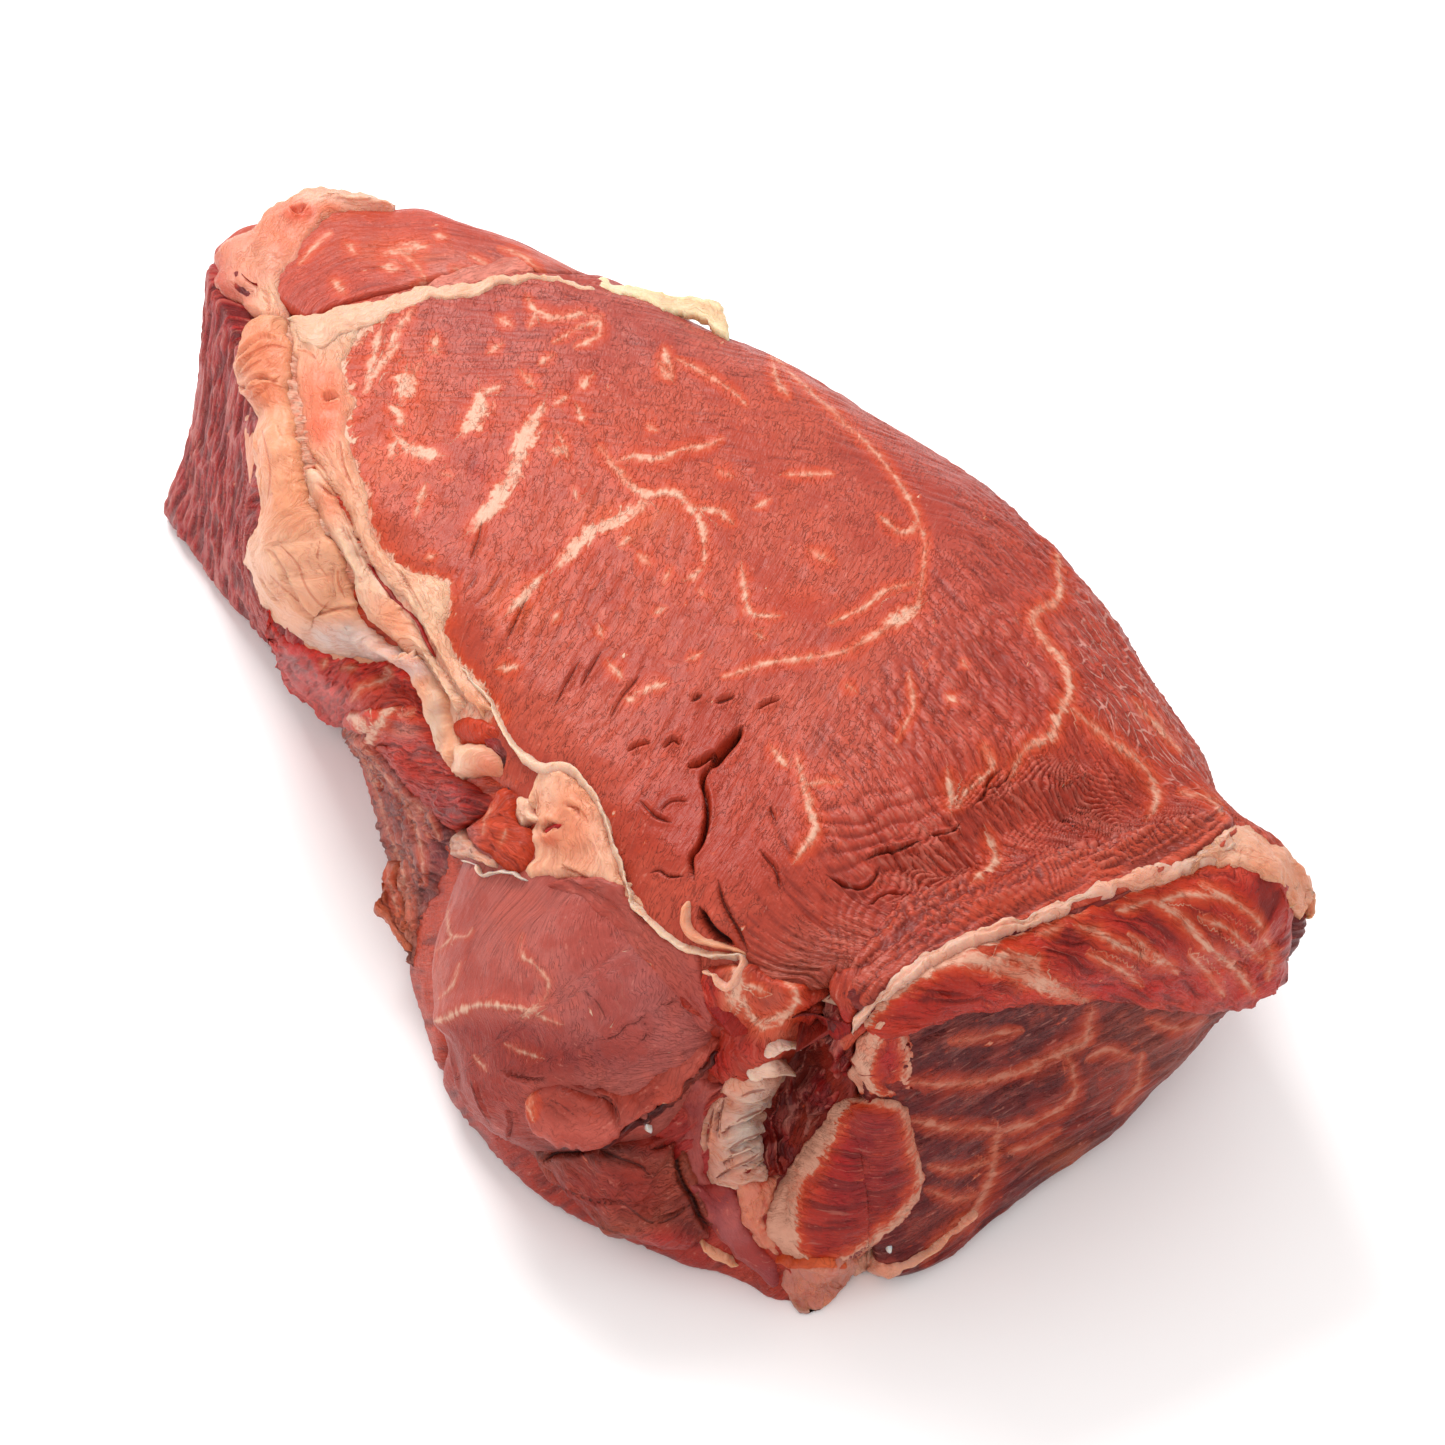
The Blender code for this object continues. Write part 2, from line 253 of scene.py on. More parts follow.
def wallPoint(stop, drop):  # a point on the side: rim sample and how far down, 0 at the rim, 1 at the foot
    first = np.floor(stop).astype(int) % rimCount
    share = (stop - np.floor(stop))[:, None]
    edge, knee, foot = (values[first] * (1 - share) + values[(first + 1) % rimCount] * share
                        for values in (rimEdge, rimKnee, rimFoot))
    t = np.clip(drop, 0, 1)[:, None]
    return edge * (1 - t) * (1 - 2 * t) + knee * 4 * t * (1 - t) + foot * t * (2 * t - 1)


def towardsView(normals):  # 1 on what is turned to the camera, 0 on what is turned away
    return ramp((normals.reshape(-1, 3) * viewBack).sum(1), *light["facing"])


def gridNormals(grid):  # unit normals of a grid of points, from differences along both ways
    normal = np.cross(np.gradient(grid, axis=0), np.gradient(grid, axis=1))
    length = np.linalg.norm(normal, axis=2, keepdims=True)
    return normal / np.maximum(length, 1e-9)


def coonsGrid(left, right, far, near):  # left and right run along, far and near run across
    s = np.linspace(0, 1, len(left))[:, None, None]
    t = np.linspace(0, 1, len(far))[None, :, None]
    corners = (1 - s) * ((1 - t) * left[0] + t * right[0]) + s * ((1 - t) * left[-1] + t * right[-1])
    return (1 - t) * left[:, None] + t * right[:, None] + (1 - s) * far[None] + s * near[None] - corners


def slabFaces(columns, rows, every):  # the grid's faces, and an underside in blocks hung from the same edge
    index = np.arange(columns * rows).reshape(columns, rows)
    faces = np.column_stack([index[:-1, :-1].ravel(), index[1:, :-1].ravel(),
                             index[1:, 1:].ravel(), index[:-1, 1:].ravel()]).tolist()
    lowColumns = list(range(every, columns - every, every)) or [columns // 2]
    lowRows = list(range(every, rows - every, every)) or [rows // 2]
    lowIndex = {(i, j): columns * rows + a * len(lowRows) + b
                for a, i in enumerate(lowColumns) for b, j in enumerate(lowRows)}
    cornersI, cornersJ = [0] + lowColumns + [columns - 1], [0] + lowRows + [rows - 1]
    for i0, i1 in zip(cornersI, cornersI[1:]):
        for j0, j1 in zip(cornersJ, cornersJ[1:]):
            loop = ([(i0, j) for j in range(j0, j1)] if i0 == 0 else [(i0, j0)])
            loop += ([(i, j1) for i in range(i0, i1)] if j1 == rows - 1 else [(i0, j1)])
            loop += ([(i1, j) for j in range(j1, j0, -1)] if i1 == columns - 1 else [(i1, j1)])
            loop += ([(i, j0) for i in range(i1, i0, -1)] if j0 == 0 else [(i1, j0)])
            faces.append([lowIndex.get(key, index[key]) for key in loop])
    chosen = np.array([index[i, j] for i in lowColumns for j in lowRows])
    return faces, chosen


def travelled(grid):  # millimetres along the grid's columns and across its rows
    ahead = np.linalg.norm(np.diff(grid, axis=0), axis=2)
    across = np.linalg.norm(np.diff(grid, axis=1), axis=2)
    return (np.vstack([np.zeros((1, grid.shape[1])), np.cumsum(ahead, axis=0)]),
            np.hstack([np.zeros((grid.shape[0], 1)), np.cumsum(across, axis=1)]))


def grainPlaces(u, v, degrees, seed):  # places along and across the grain, for the finishes to read
    angle = math.radians(degrees)
    return np.dstack([u * math.cos(angle) + v * math.sin(angle), v * math.cos(angle) - u * math.sin(angle),
                      np.full(u.shape, 7.0 * seed)]).reshape(-1, 3)


def cushion(grid, roll):  # 0 at the edges, 1 inside: a quarter round over each edge's own width
    u, v = travelled(grid)
    lift = np.ones(grid.shape[:2])
    for distance, reach in zip((v, v[:, -1:] - v, u, u[-1:] - u), roll):
        lift *= np.sqrt(1 - (1 - np.clip(distance / reach, 0, 1)) ** 2)
    return lift


# How deep the meat lies behind each place of the photograph: cells in pixels, a band of depths in millimetres
seen = {"cell": 5, "depth": None, "band": 1.5}
seenSide = view["photoSide"] // seen["cell"] + 1
nearest = np.full((seenSide, seenSide), np.inf)
seenPoints = []


def noteSeen(grid):  # adds a grid's points, and those halfway between them, to what the camera sees
    between = [grid, (grid[1:] + grid[:-1]) / 2, (grid[:, 1:] + grid[:, :-1]) / 2,
               (grid[1:, 1:] + grid[:-1, :-1]) / 2]
    points = np.concatenate([part.reshape(-1, 3) for part in between])
    place, depth = toPhoto(points)
    column, row = (np.clip(place / seen["cell"], 0, seenSide - 1).astype(int)).T
    np.minimum.at(nearest, (row, column), depth)
    seenPoints.append((row, column, depth))


def settleSeen():  # averages the depths near each cell's nearest point, then fills the empty cells
    total, weight = np.zeros((seenSide, seenSide)), np.zeros((seenSide, seenSide))
    for row, column, depth in seenPoints:
        close = depth < nearest[row, column] + seen["band"]
        np.add.at(total, (row[close], column[close]), depth[close])
        np.add.at(weight, (row[close], column[close]), 1)
    filled = weight > 0
    depth = np.where(filled, total / np.maximum(weight, 1), 0)
    while not filled.all():
        around, count = np.zeros_like(depth), np.zeros_like(depth)
        for shift in ((0, 1), (0, -1), (1, 0), (-1, 0)):
            around += np.roll(depth * filled, shift, axis=(0, 1))
            count += np.roll(filled, shift, axis=(0, 1))
        grown = ~filled & (count > 0)
        depth[grown] = around[grown] / count[grown]
        filled |= grown
    seen["depth"] = depth


def onSeen(place, soft=1):  # the points of the meat behind places of the photograph
    depth = seen["depth"]
    for step in range(soft):
        padded = np.pad(depth, 1, mode="edge")
        depth = sum(padded[i:i + seenSide, j:j + seenSide] for i in range(3) for j in range(3)) / 9
    spot = np.clip(place / seen["cell"] - 0.5, 0, seenSide - 1.001)
    low = np.floor(spot).astype(int)
    column, row = low[..., 0], low[..., 1]
    right, down = (spot - low)[..., 0], (spot - low)[..., 1]
    value = ((depth[row, column] * (1 - right) + depth[row, column + 1] * right) * (1 - down)
             + (depth[row + 1, column] * (1 - right) + depth[row + 1, column + 1] * right) * down)
    return fromPhoto(place, value)


def addPiece(name, points, faces, looks, material, smoothFaces=None):  # from block coordinates to the frame's
    points = (points - (*block["centre"], 0)) * mm
    points[:, 2] = np.maximum(points[:, 2], 0)  # it rests on the floor
    mesh = bpy.data.meshes.new(name)
    mesh.from_pydata(points.tolist(), [], faces)
    mesh.update()
    for key, values in looks.items():
        layer = mesh.attributes.new(key, "FLOAT_VECTOR", "POINT")
        layer.data.foreach_set("vector", values.astype(np.float32).ravel())
    mesh.polygons.foreach_set("use_smooth", np.arange(len(faces)) < (smoothFaces or len(faces)))
    mesh.materials.append(material)
    piece = bpy.data.objects.new(name, mesh)
    bpy.context.scene.collection.objects.link(piece)
    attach(piece, "root")
    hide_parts("roast")
    print(name, len(points), "points")


def addSlab(name, grid, normals, looks, depth, material, every=8, parts=1):  # a grid given a depth, in bands
    columns, rows = grid.shape[:2]
    overlap, fall = 3, 0.004  # a band runs on under its neighbours and falls away there
    stops = np.linspace(0, columns - 1, parts + 1).astype(int)
    for k, (start, end) in enumerate(zip(stops, stops[1:])):
        first, last = max(start - overlap, 0), min(end + overlap, columns - 1)
        beyond = np.maximum(start - np.arange(first, last + 1), np.arange(first, last + 1) - end)
        band = slice(first, last + 1)
        faces, chosen = slabFaces(last + 1 - first, rows, every)
        sunk = fall * np.maximum(beyond, 0)[:, None, None] ** 2 * normals[band]
        top = (grid[band] - sunk).reshape(-1, 3)
        under = top[chosen] - (normals * depth[..., None])[band].reshape(-1, 3)[chosen]
        own = {}
        for key, values in looks.items():
            values = values.reshape(columns, rows, 3)[band].reshape(-1, 3)
            own[key] = np.vstack([values, values[chosen]])
        addPiece(name if parts == 1 else name + str(k + 1), np.vstack([top, under]), faces, own, material,
                 (last - first) * (rows - 1))


def cutRelief(place, cuts):  # grooves with raised lips, tapering to their ends
    height = np.zeros(len(place))
    for width, depth, lip, line in cuts:
        line = spots(line)
        distance, share = lineDistance(place, evenCurve(line, 6 * len(line)))[1:]
        reach = width * (0.35 + 0.65 * np.sqrt(np.clip(4 * share * (1 - share), 0, 1)))
        ends = np.clip(6 * np.minimum(share, 1 - share), 0.15, 1)
        height -= depth * ends * (1 - ramp(distance, 0.15 * reach, 1.5 * reach))
        height += lip * ends * np.exp(-((distance - 2.2 * reach) / (1.3 * reach)) ** 2)
    return height


def nearestLine(place, lines):  # side and distance to the nearest drawn line in half widths, and one in mm
    side, away, wide = np.full(len(place), 50.0), np.full(len(place), 50.0), np.full(len(place), 0.5)
    for width, line in lines:
        line = spots(line)
        low, high = np.min(line, axis=0) - 12 * width, np.max(line, axis=0) + 12 * width
        close = np.flatnonzero(((place > low) & (place < high)).all(1))
        if not len(close):
            continue
        signed, distance, share = lineDistance(place[close], evenCurve(line, 5 * len(line)))
        reach = width * (0.45 + 0.55 * np.clip(5 * np.minimum(share, 1 - share), 0, 1))
        nearer = distance / reach < away[close]
        side[close[nearer]] = (signed / reach)[nearer]
        away[close[nearer]] = (distance / reach)[nearer]
        wide[close[nearer]] = (reach * pixel)[nearer]
    return side, away, wide


def seenTone(colour, recipe):  # the surface's own colour behind one that is seen in the light
    return np.maximum((srgb(*colour) - light["sheen"]) / (light["level"] * recipe.get("lit", 1.0)), 0.004)


def paint(points, normals, grain, recipe, slopeGrain=None):  # what the finishes read at each point
    place = toPhoto(points)[0]
    toCamera = viewStand - points
    toCamera /= np.linalg.norm(toCamera, axis=1, keepdims=True)
    facing = ramp((normals * toCamera).sum(1), *light["facing"])
    tone = np.tile(seenTone(recipe["fat" if "fat" in recipe else "lean"], recipe), (len(points), 1))
    weight = np.ones(len(points))
    for x, y, reachX, reachY, *colour in recipe.get("tones", ()):
        share = 3 * facing * np.exp(-((place[:, 0] - x) / reachX) ** 2 - ((place[:, 1] - y) / reachY) ** 2)
        tone += share[:, None] * seenTone(colour, recipe)
        weight += share
    tone /= weight[:, None]
    away = 1 - facing
    if "hiddenLean" in recipe:
        tone = tone * facing[:, None] + seenTone(recipe["hiddenLean"], recipe) * away[:, None]
    veinSide, veinAway, veinWide = nearestLine(place, recipe.get("veins", ()))
    cuts = [(0.75 * width, line) for width, depth, lip, line in recipe.get("cuts", ())]
    cutSide, cutAway, cutWide = nearestLine(place, cuts)
    hidden = away * 50
    fatField = np.full(len(points), -9.0)
    for outline in recipe.get("fatAreas", ()):
        fatField = np.maximum(fatField, insideOutline(place, outline) * pixel - 9 * away)
    if recipe.get("fatShare"):  # fat spreads in sheets where the camera doesn't see
        sheet = layeredNoise(points, 34, 3, recipe["seed"] + 60)
        sheet = (sheet - recipe["fatShare"]) * 9
        fatField = np.maximum(fatField, np.where(away > 0.5, sheet, -9))
    if "fat" in recipe:
        fatField = np.full(len(points), 4.0)
    flat = np.ones(len(points))
    return {
        "tone": tone,
        "vein": np.column_stack([veinSide, veinAway + hidden, veinWide]),
        "cut": np.column_stack([cutSide, cutAway + hidden, cutWide]),
        "field": np.column_stack([fatField, recipe.get("veinStrength", 1.0) * flat,
                                  recipe.get("stain", 0.0) * flat]),
        "amount": np.column_stack([recipe.get("crack", 0.5) * flat, recipe.get("fibre", 0.5) * flat,
                                   0 * flat]),
        "grain": grain,
        # the shade's last part is how much painted shade darkens fat and its grooves
        "shade": np.column_stack([0 * flat, 0 * flat, recipe.get("paintedShade", 0) * flat]),
        "slopeGrain": slopeGrain if slopeGrain is not None else grain * (1, 1, 0),
    }


class Wire:  # a socket that takes + - * and /, each of which adds its Math node
    def __init__(self, sheet, socket):
        self.sheet, self.socket = sheet, socket

    def __add__(self, other):
        return self.sheet.maths("ADD", self, other)

    def __sub__(self, other):
        return self.sheet.maths("SUBTRACT", self, other)

    def __mul__(self, other):
        return self.sheet.maths("MULTIPLY", self, other)

    def __truediv__(self, other):
        return self.sheet.maths("DIVIDE", self, other)

    def __rsub__(self, other):
        return self.sheet.maths("SUBTRACT", other, self)

    __radd__ = __add__
    __rmul__ = __mul__


class Sheet:  # one material's node sheet
    def __init__(self, name):
        self.material = bpy.data.materials.new(name)
        self.material.use_nodes = True
        self.nodes, self.links = self.material.node_tree.nodes, self.material.node_tree.links
        self.shader = self.nodes["Principled BSDF"]

    def node(self, kind, settings=None, inputs=None):  # settings first, then values or links by socket
        made = self.nodes.new("ShaderNode" + kind)
        for key, value in (settings or {}).items():
            setattr(made, key, value)
        for key, value in (inputs or {}).items():
            self.feed(made.inputs[key], value)
        return made

    def feed(self, socket, value):
        if isinstance(value, Wire):
            self.links.new(value.socket, socket)
        else:
            socket.default_value = value

    def wire(self, made, key=0):
        return Wire(self, made.outputs[key])

    def maths(self, operation, first, second=0.0):
        return self.wire(self.node("Math", {"operation": operation}, {0: first, 1: second}))

    def above(self, value, low, high):  # 0 below low, 1 above high, smooth between
        return self.wire(self.node("MapRange", {"interpolation_type": "SMOOTHSTEP"},
                                   {"Value": value, "From Min": low, "From Max": high}))

    def mix(self, factor, first, second):
        made = self.node("Mix", {"data_type": "RGBA"}, {0: factor})
        for slot, value in ((6, first), (7, second)):
            self.feed(made.inputs[slot], value if isinstance(value, Wire) else (*value, 1))
        return self.wire(made, 2)

    def scaled(self, colour, factor):
        made = self.node("VectorMath", {"operation": "SCALE"}, {0: colour, "Scale": factor})
        return self.wire(made)

    def stretched(self, vector, sizes):  # a vector with each part divided by its own size
        shares = [1 / size for size in sizes]
        return self.wire(self.node("VectorMath", {"operation": "MULTIPLY"}, {0: vector, 1: shares}))

    def noise(self, vector, detail=2.0, rough=0.55, distortion=0.0):
        return self.wire(self.node("TexNoise", None, {"Vector": vector, "Scale": 1.0, "Detail": detail,
                                                      "Roughness": rough, "Distortion": distortion}))

    def attribute(self, name):
        made = self.node("Attribute", {"attribute_name": name})
        parts = self.node("SeparateXYZ", None, {0: self.wire(made, "Vector")})
        return self.wire(made, "Vector"), [self.wire(parts, k) for k in range(3)]


finishes = {
    "fatCream": (250, 206, 180), "fatPink": (240, 160, 134), "fatEdge": (228, 124, 96), "halo": (220, 94, 66),
    "dusky": (176, 82, 74), "bright": (220, 110, 92), "valley": (112, 26, 20), "grooveShade": (72, 8, 7),
    "paleFibreAndHighlight": (238, 160, 142), "netPale": (236, 172, 158), "fatWarmthAndShade": (240, 152, 120),
    "bloodStain": (214, 84, 60), "fatGrooveShade": (206, 96, 62), "fatShadeTone": (196, 122, 102),
    "coat": 0.04, "coatRoughness": 0.14, "specular": 0.2, "fleshBump": 0.8, "fatBump": 0.7,
    "bumpDepth": 0.0008, "subsurface": 0.35, "subsurfaceRadius": (0.008, 0.003, 0.0015),
}


def finish(name):
    return seenTone(finishes[name], {})


def fibreNoises(sheet, grain):  # fine fibres, long wavering lines and short ones, drawn out along the grain
    return (sheet.noise(sheet.stretched(grain, (3.0, 0.42, 1.0)), 2.0, 0.6),
            sheet.noise(sheet.stretched(grain, (7.0, 0.8, 1.0)), 2.0, 0.5, 0.3),
            sheet.noise(sheet.stretched(grain, (3.8, 1.1, 1.0)), 2.0, 0.6, 0.5))


def gloss(sheet):  # the thin wet coat that flesh and fat share
    for socket, key in (("Coat Weight", "coat"), ("Coat Roughness", "coatRoughness"),
                        ("Specular IOR Level", "specular")):
        sheet.shader.inputs[socket].default_value = finishes[key]


def bumped(sheet, height, strength):
    bump = sheet.node("Bump", None, {"Strength": strength, "Distance": finishes["bumpDepth"],
                                     "Height": height})
    sheet.feed(sheet.shader.inputs["Normal"], sheet.wire(bump))


def lineNear(sheet, value, middle, inner, outer):  # 1 where a value passes its middle, 0 away from it
    return 1 - sheet.above(sheet.maths("ABSOLUTE", value - middle), inner, outer)


def highest(sheet, *wires):
    top = wires[0]
    for wire in wires[1:]:
        top = sheet.maths("MAXIMUM", top, wire)
    return top


def fleshFinish(name):  # lean meat with grain, cracks, flecks, drawn veins and fat over it
    sheet = Sheet(name)
    tone = sheet.attribute("tone")[0]
    grain = sheet.attribute("grain")[0]
    slopeGrain, (slopeU, slopeV, slope) = sheet.attribute("slopeGrain")
    veinX, veinY, veinWide = sheet.attribute("vein")[1]
    cutX, cutY, cutWide = sheet.attribute("cut")[1]
    fat, veinStrength, stainAmount = sheet.attribute("field")[1]
    crackAmount, fibreAmount, netAmount = sheet.attribute("amount")[1]
    valley, ridge, paintedShade = sheet.attribute("shade")[1]
    place = sheet.wire(sheet.node("TexCoord"), "Object")
    mottle = sheet.noise(sheet.stretched(place, [0.014] * 3), 3.0, 0.55)
    small = sheet.noise(sheet.stretched(place, [0.0009] * 3), 2.0, 0.65)
    wander = sheet.noise(sheet.stretched(place, [0.0032] * 3), 2.0, 0.5)
    faceNoises, slopeNoises = fibreNoises(sheet, grain), fibreNoises(sheet, slopeGrain)
    fibre, streak, short = (first * (1 - slope) + second * slope
                            for first, second in zip(faceNoises, slopeNoises))
    lean = sheet.mix(sheet.above(mottle + (wander - 0.5) * 0.3, 0.38, 0.52),
                     sheet.mix(0.45, tone, finish("dusky")), tone)
    lean = sheet.mix(sheet.above(mottle + (wander - 0.5) * 0.4, 0.52, 0.66) * 0.4, lean,
                     sheet.mix(0.5, tone, finish("bright")))
    lean = sheet.scaled(lean, 0.80 + small * 0.20 + wander * 0.24)
    lean = sheet.scaled(lean, 1 + (fibre - 0.5) * (0.28 + fibreAmount * 0.6))
    patchy = sheet.above(wander * 0.5 + mottle * 0.5, 0.42, 0.52)
    crack = lineNear(sheet, short, 0.5, 0.002, 0.022) * patchy * crackAmount
    fineCrack = (1 - sheet.above(short, 0.26, 0.34)) * sheet.above(wander, 0.45, 0.58) * crackAmount
    paleLine = (1 - sheet.above(streak, 0.30, 0.38)) * fibreAmount
    # painted shade in the relief's valleys, and a painted highlight on its ridges that is partly pale tissue
    lean = sheet.mix(valley * 0.6, lean, finish("valley"))
    lean = sheet.mix(ridge * 0.25, lean, finish("paleFibreAndHighlight"))
    lean = sheet.mix(crack * 0.40 + fineCrack * 0.22, lean, sheet.scaled(tone, 0.34))
    lean = sheet.mix(paleLine * 0.38, lean, finish("paleFibreAndHighlight"))
    paleFleck = sheet.above(short + (small - 0.5) * 0.5, 0.66, 0.78)
    lean = sheet.mix(paleFleck * 0.30, lean, finish("paleFibreAndHighlight"))
    netPlace = sheet.stretched(slopeGrain, (6.0, 1.9, 1.0))
    cells = sheet.node("TexVoronoi", {"feature": "DISTANCE_TO_EDGE"},
                       {"Vector": netPlace, "Scale": 1.0, "Randomness": 1.0})
    netEdge = sheet.wire(cells, "Distance") + (small - 0.5) * 0.10 + (wander - 0.5) * 0.22
    net = (1 - sheet.above(netEdge, 0.008, 0.05)) * netAmount
    lean = sheet.mix(net * 0.75, lean, finish("netPale"))
    blob = sheet.noise(sheet.stretched(grain, (5.5, 2.6, 1.0)), 3.0, 0.6)
    cream = sheet.mix(sheet.above(mottle + (small - 0.5) * 0.5, 0.42, 0.66), finish("fatCream"),
                      finish("fatPink"))
    # painted shade: on pieces that ask for it, the fat is darkened to a dusky brown
    cream = sheet.mix(paintedShade * 0.8, sheet.scaled(cream, 0.88 + small * 0.20), finish("fatShadeTone"))
    ragged = (short - 0.5) * 4.5 + (small - 0.5) * 2.2 + (wander - 0.5) * 4.0
    veinEdge = (sheet.maths("ABSOLUTE", veinX) - 1) * veinWide + ragged * (0.20 + veinWide * 0.42)
    veinNear = (1 - sheet.above(veinY, 4.0, 7.0)) * (1 - sheet.above((veinY - 1) * veinWide, 2.6, 3.8))
    veinNear = veinNear * veinStrength
    veinMask = (1 - sheet.above(veinEdge, -0.95, 0.35)) * veinNear
    edgeMask = (1 - sheet.above(veinEdge, -0.4, 1.1)) * veinNear
    haloMask = (1 - sheet.above(veinEdge, 0.1, 3.2)) * veinNear
    fatEdge = fat + ragged * 0.8
    creamMask = highest(sheet, veinMask, sheet.above(fatEdge, -0.10, 0.45),
                        sheet.above(blob, 0.715, 0.75) * veinStrength)
    edgeMask = highest(sheet, edgeMask, sheet.above(fatEdge, -0.8, 0.0), sheet.above(blob, 0.69, 0.735))
    haloMask = highest(sheet, haloMask, sheet.above(fatEdge, -3.0, 0.0), sheet.above(blob, 0.64, 0.73))
    colour = sheet.mix(haloMask * (0.6 - stainAmount * 0.5), lean, finish("halo"))
    colour = sheet.mix(edgeMask * (0.55 - stainAmount * 0.4), colour, finish("fatEdge"))
    colour = sheet.mix(creamMask * 0.82, colour, cream)
    cutMask = lineNear(sheet, cutX, 0.0, 0.30, 1.10) * (1 - sheet.above(cutY, 1.1, 1.7))
    cutMask = cutMask * (0.35 + sheet.above(cutWide, 0.20, 0.55) * 0.5)
    # painted shade: the flesh turns near black along each drawn groove, more where the groove is wide
    colour = sheet.mix(cutMask, colour, finish("grooveShade"))
    sheet.feed(sheet.shader.inputs["Base Color"], colour)
    sheet.feed(sheet.shader.inputs["Roughness"], 0.36 + mottle * 0.14 + creamMask * 0.06 - cutMask * 0.12)
    gloss(sheet)
    height = (fibre * (0.14 + 0.40 * fibreAmount) - crack * 0.5 - fineCrack * 0.25 + paleLine * 0.25
              + small * 0.26 + short * 0.12 + creamMask * 0.25 + net * 0.4 - cutMask * 0.6)
    bumped(sheet, height, finishes["fleshBump"])
    return sheet.material


def fatFinish(name):  # fat and skin: soft colour from the tone, creased in small folds, stained by blood
    sheet = Sheet(name)
    tone = sheet.attribute("tone")[0]
    grain = sheet.attribute("grain")[0]
    cutX, cutY = sheet.attribute("cut")[1][:2]
    stainAmount = sheet.attribute("field")[1][2]
    creaseAmount = sheet.attribute("amount")[1][0]
    valley, ridge, paintedShade = sheet.attribute("shade")[1]
    place = sheet.wire(sheet.node("TexCoord"), "Object")
    mottle = sheet.noise(sheet.stretched(place, [0.007] * 3), 3.0, 0.55)
    small = sheet.noise(sheet.stretched(place, [0.0010] * 3), 2.0, 0.6)
    crease = sheet.noise(sheet.stretched(grain, (5.0, 1.8, 1.0)), 2.0, 0.55, 1.0)
    line = lineNear(sheet, crease, 0.5, 0.004, 0.055) * creaseAmount * sheet.above(mottle, 0.40, 0.55)
    colour = sheet.scaled(tone, 0.90 + mottle * 0.12 + small * 0.08)
    warm = sheet.above(mottle, 0.44, 0.70)
    # warmer with random mottle, and with painted shade in the creases and in the relief's valleys
    colour = sheet.mix(warm * 0.35 + line * 0.5 + valley * 0.6, colour,
                       sheet.mix(0.6, tone, finish("fatWarmthAndShade")))
    stain = sheet.noise(sheet.stretched(place, [0.006] * 3), 3.0, 0.65)
    colour = sheet.mix(sheet.above(stain, 0.50, 0.70) * stainAmount, colour, finish("bloodStain"))
    cutMask = lineNear(sheet, cutX, 0.0, 0.3, 1.2) * (1 - sheet.above(cutY, 1.2, 1.8))
    # painted shade: the fat turns warm along each drawn groove, and near black there as far as the piece's
    # painted shade asks
    colour = sheet.mix(cutMask * 0.4, colour, finish("fatGrooveShade"))
    colour = sheet.mix(cutMask * paintedShade * 0.75, colour, finish("grooveShade"))
    sheet.feed(sheet.shader.inputs["Base Color"], colour)
    sheet.feed(sheet.shader.inputs["Roughness"], 0.34 + mottle * 0.16)
    gloss(sheet)
    sheet.shader.inputs["Subsurface Weight"].default_value = finishes["subsurface"]
    sheet.shader.inputs["Subsurface Radius"].default_value = finishes["subsurfaceRadius"]
    sheet.shader.inputs["Subsurface Scale"].default_value = 1.0
    height = small * 0.35 + crease * 0.8 - line * 0.35 - cutMask * 0.4
    bumped(sheet, height, finishes["fatBump"])
    return sheet.material


fleshMaterial = fleshFinish("flesh")
fatMaterial = fatFinish("fat")
print("flesh and fat finishes made")


rounding = {"turnedAway": (0.1, 0.4), "rowsBelow": (-34, -18), "rowsAbove": (4, 13),  # grid rows from the rim
            "steps": 400, "share": 0.5}


def roundedBehind(grid, rimRow):  # evens out the rim where it is turned away from the camera
    walls = gridNormals(grid)[:, rimRow // 3:rimRow * 2 // 3].mean(1)
    rows = np.arange(grid.shape[1]) - rimRow
    share = ramp(rows, *rounding["rowsBelow"]) * (1 - ramp(rows, *rounding["rowsAbove"])) * rounding["share"]
    share = (ramp(-walls @ viewBack, *rounding["turnedAway"])[:, None] * share)[:, 1:-1, None]
    for step in range(rounding["steps"]):
        grid[:, 1:-1] += share * ((grid[:, 2:] + grid[:, :-2]) / 2 - grid[:, 1:-1])
    return grid


def bent(stops, drop):  # the seam on the far side wanders on its way down
    return stops + 0.3 * ramp(stops, 17.5, 20) * (1 - ramp(stops, 21, 23.5)) * math.sin(5 * drop) * drop


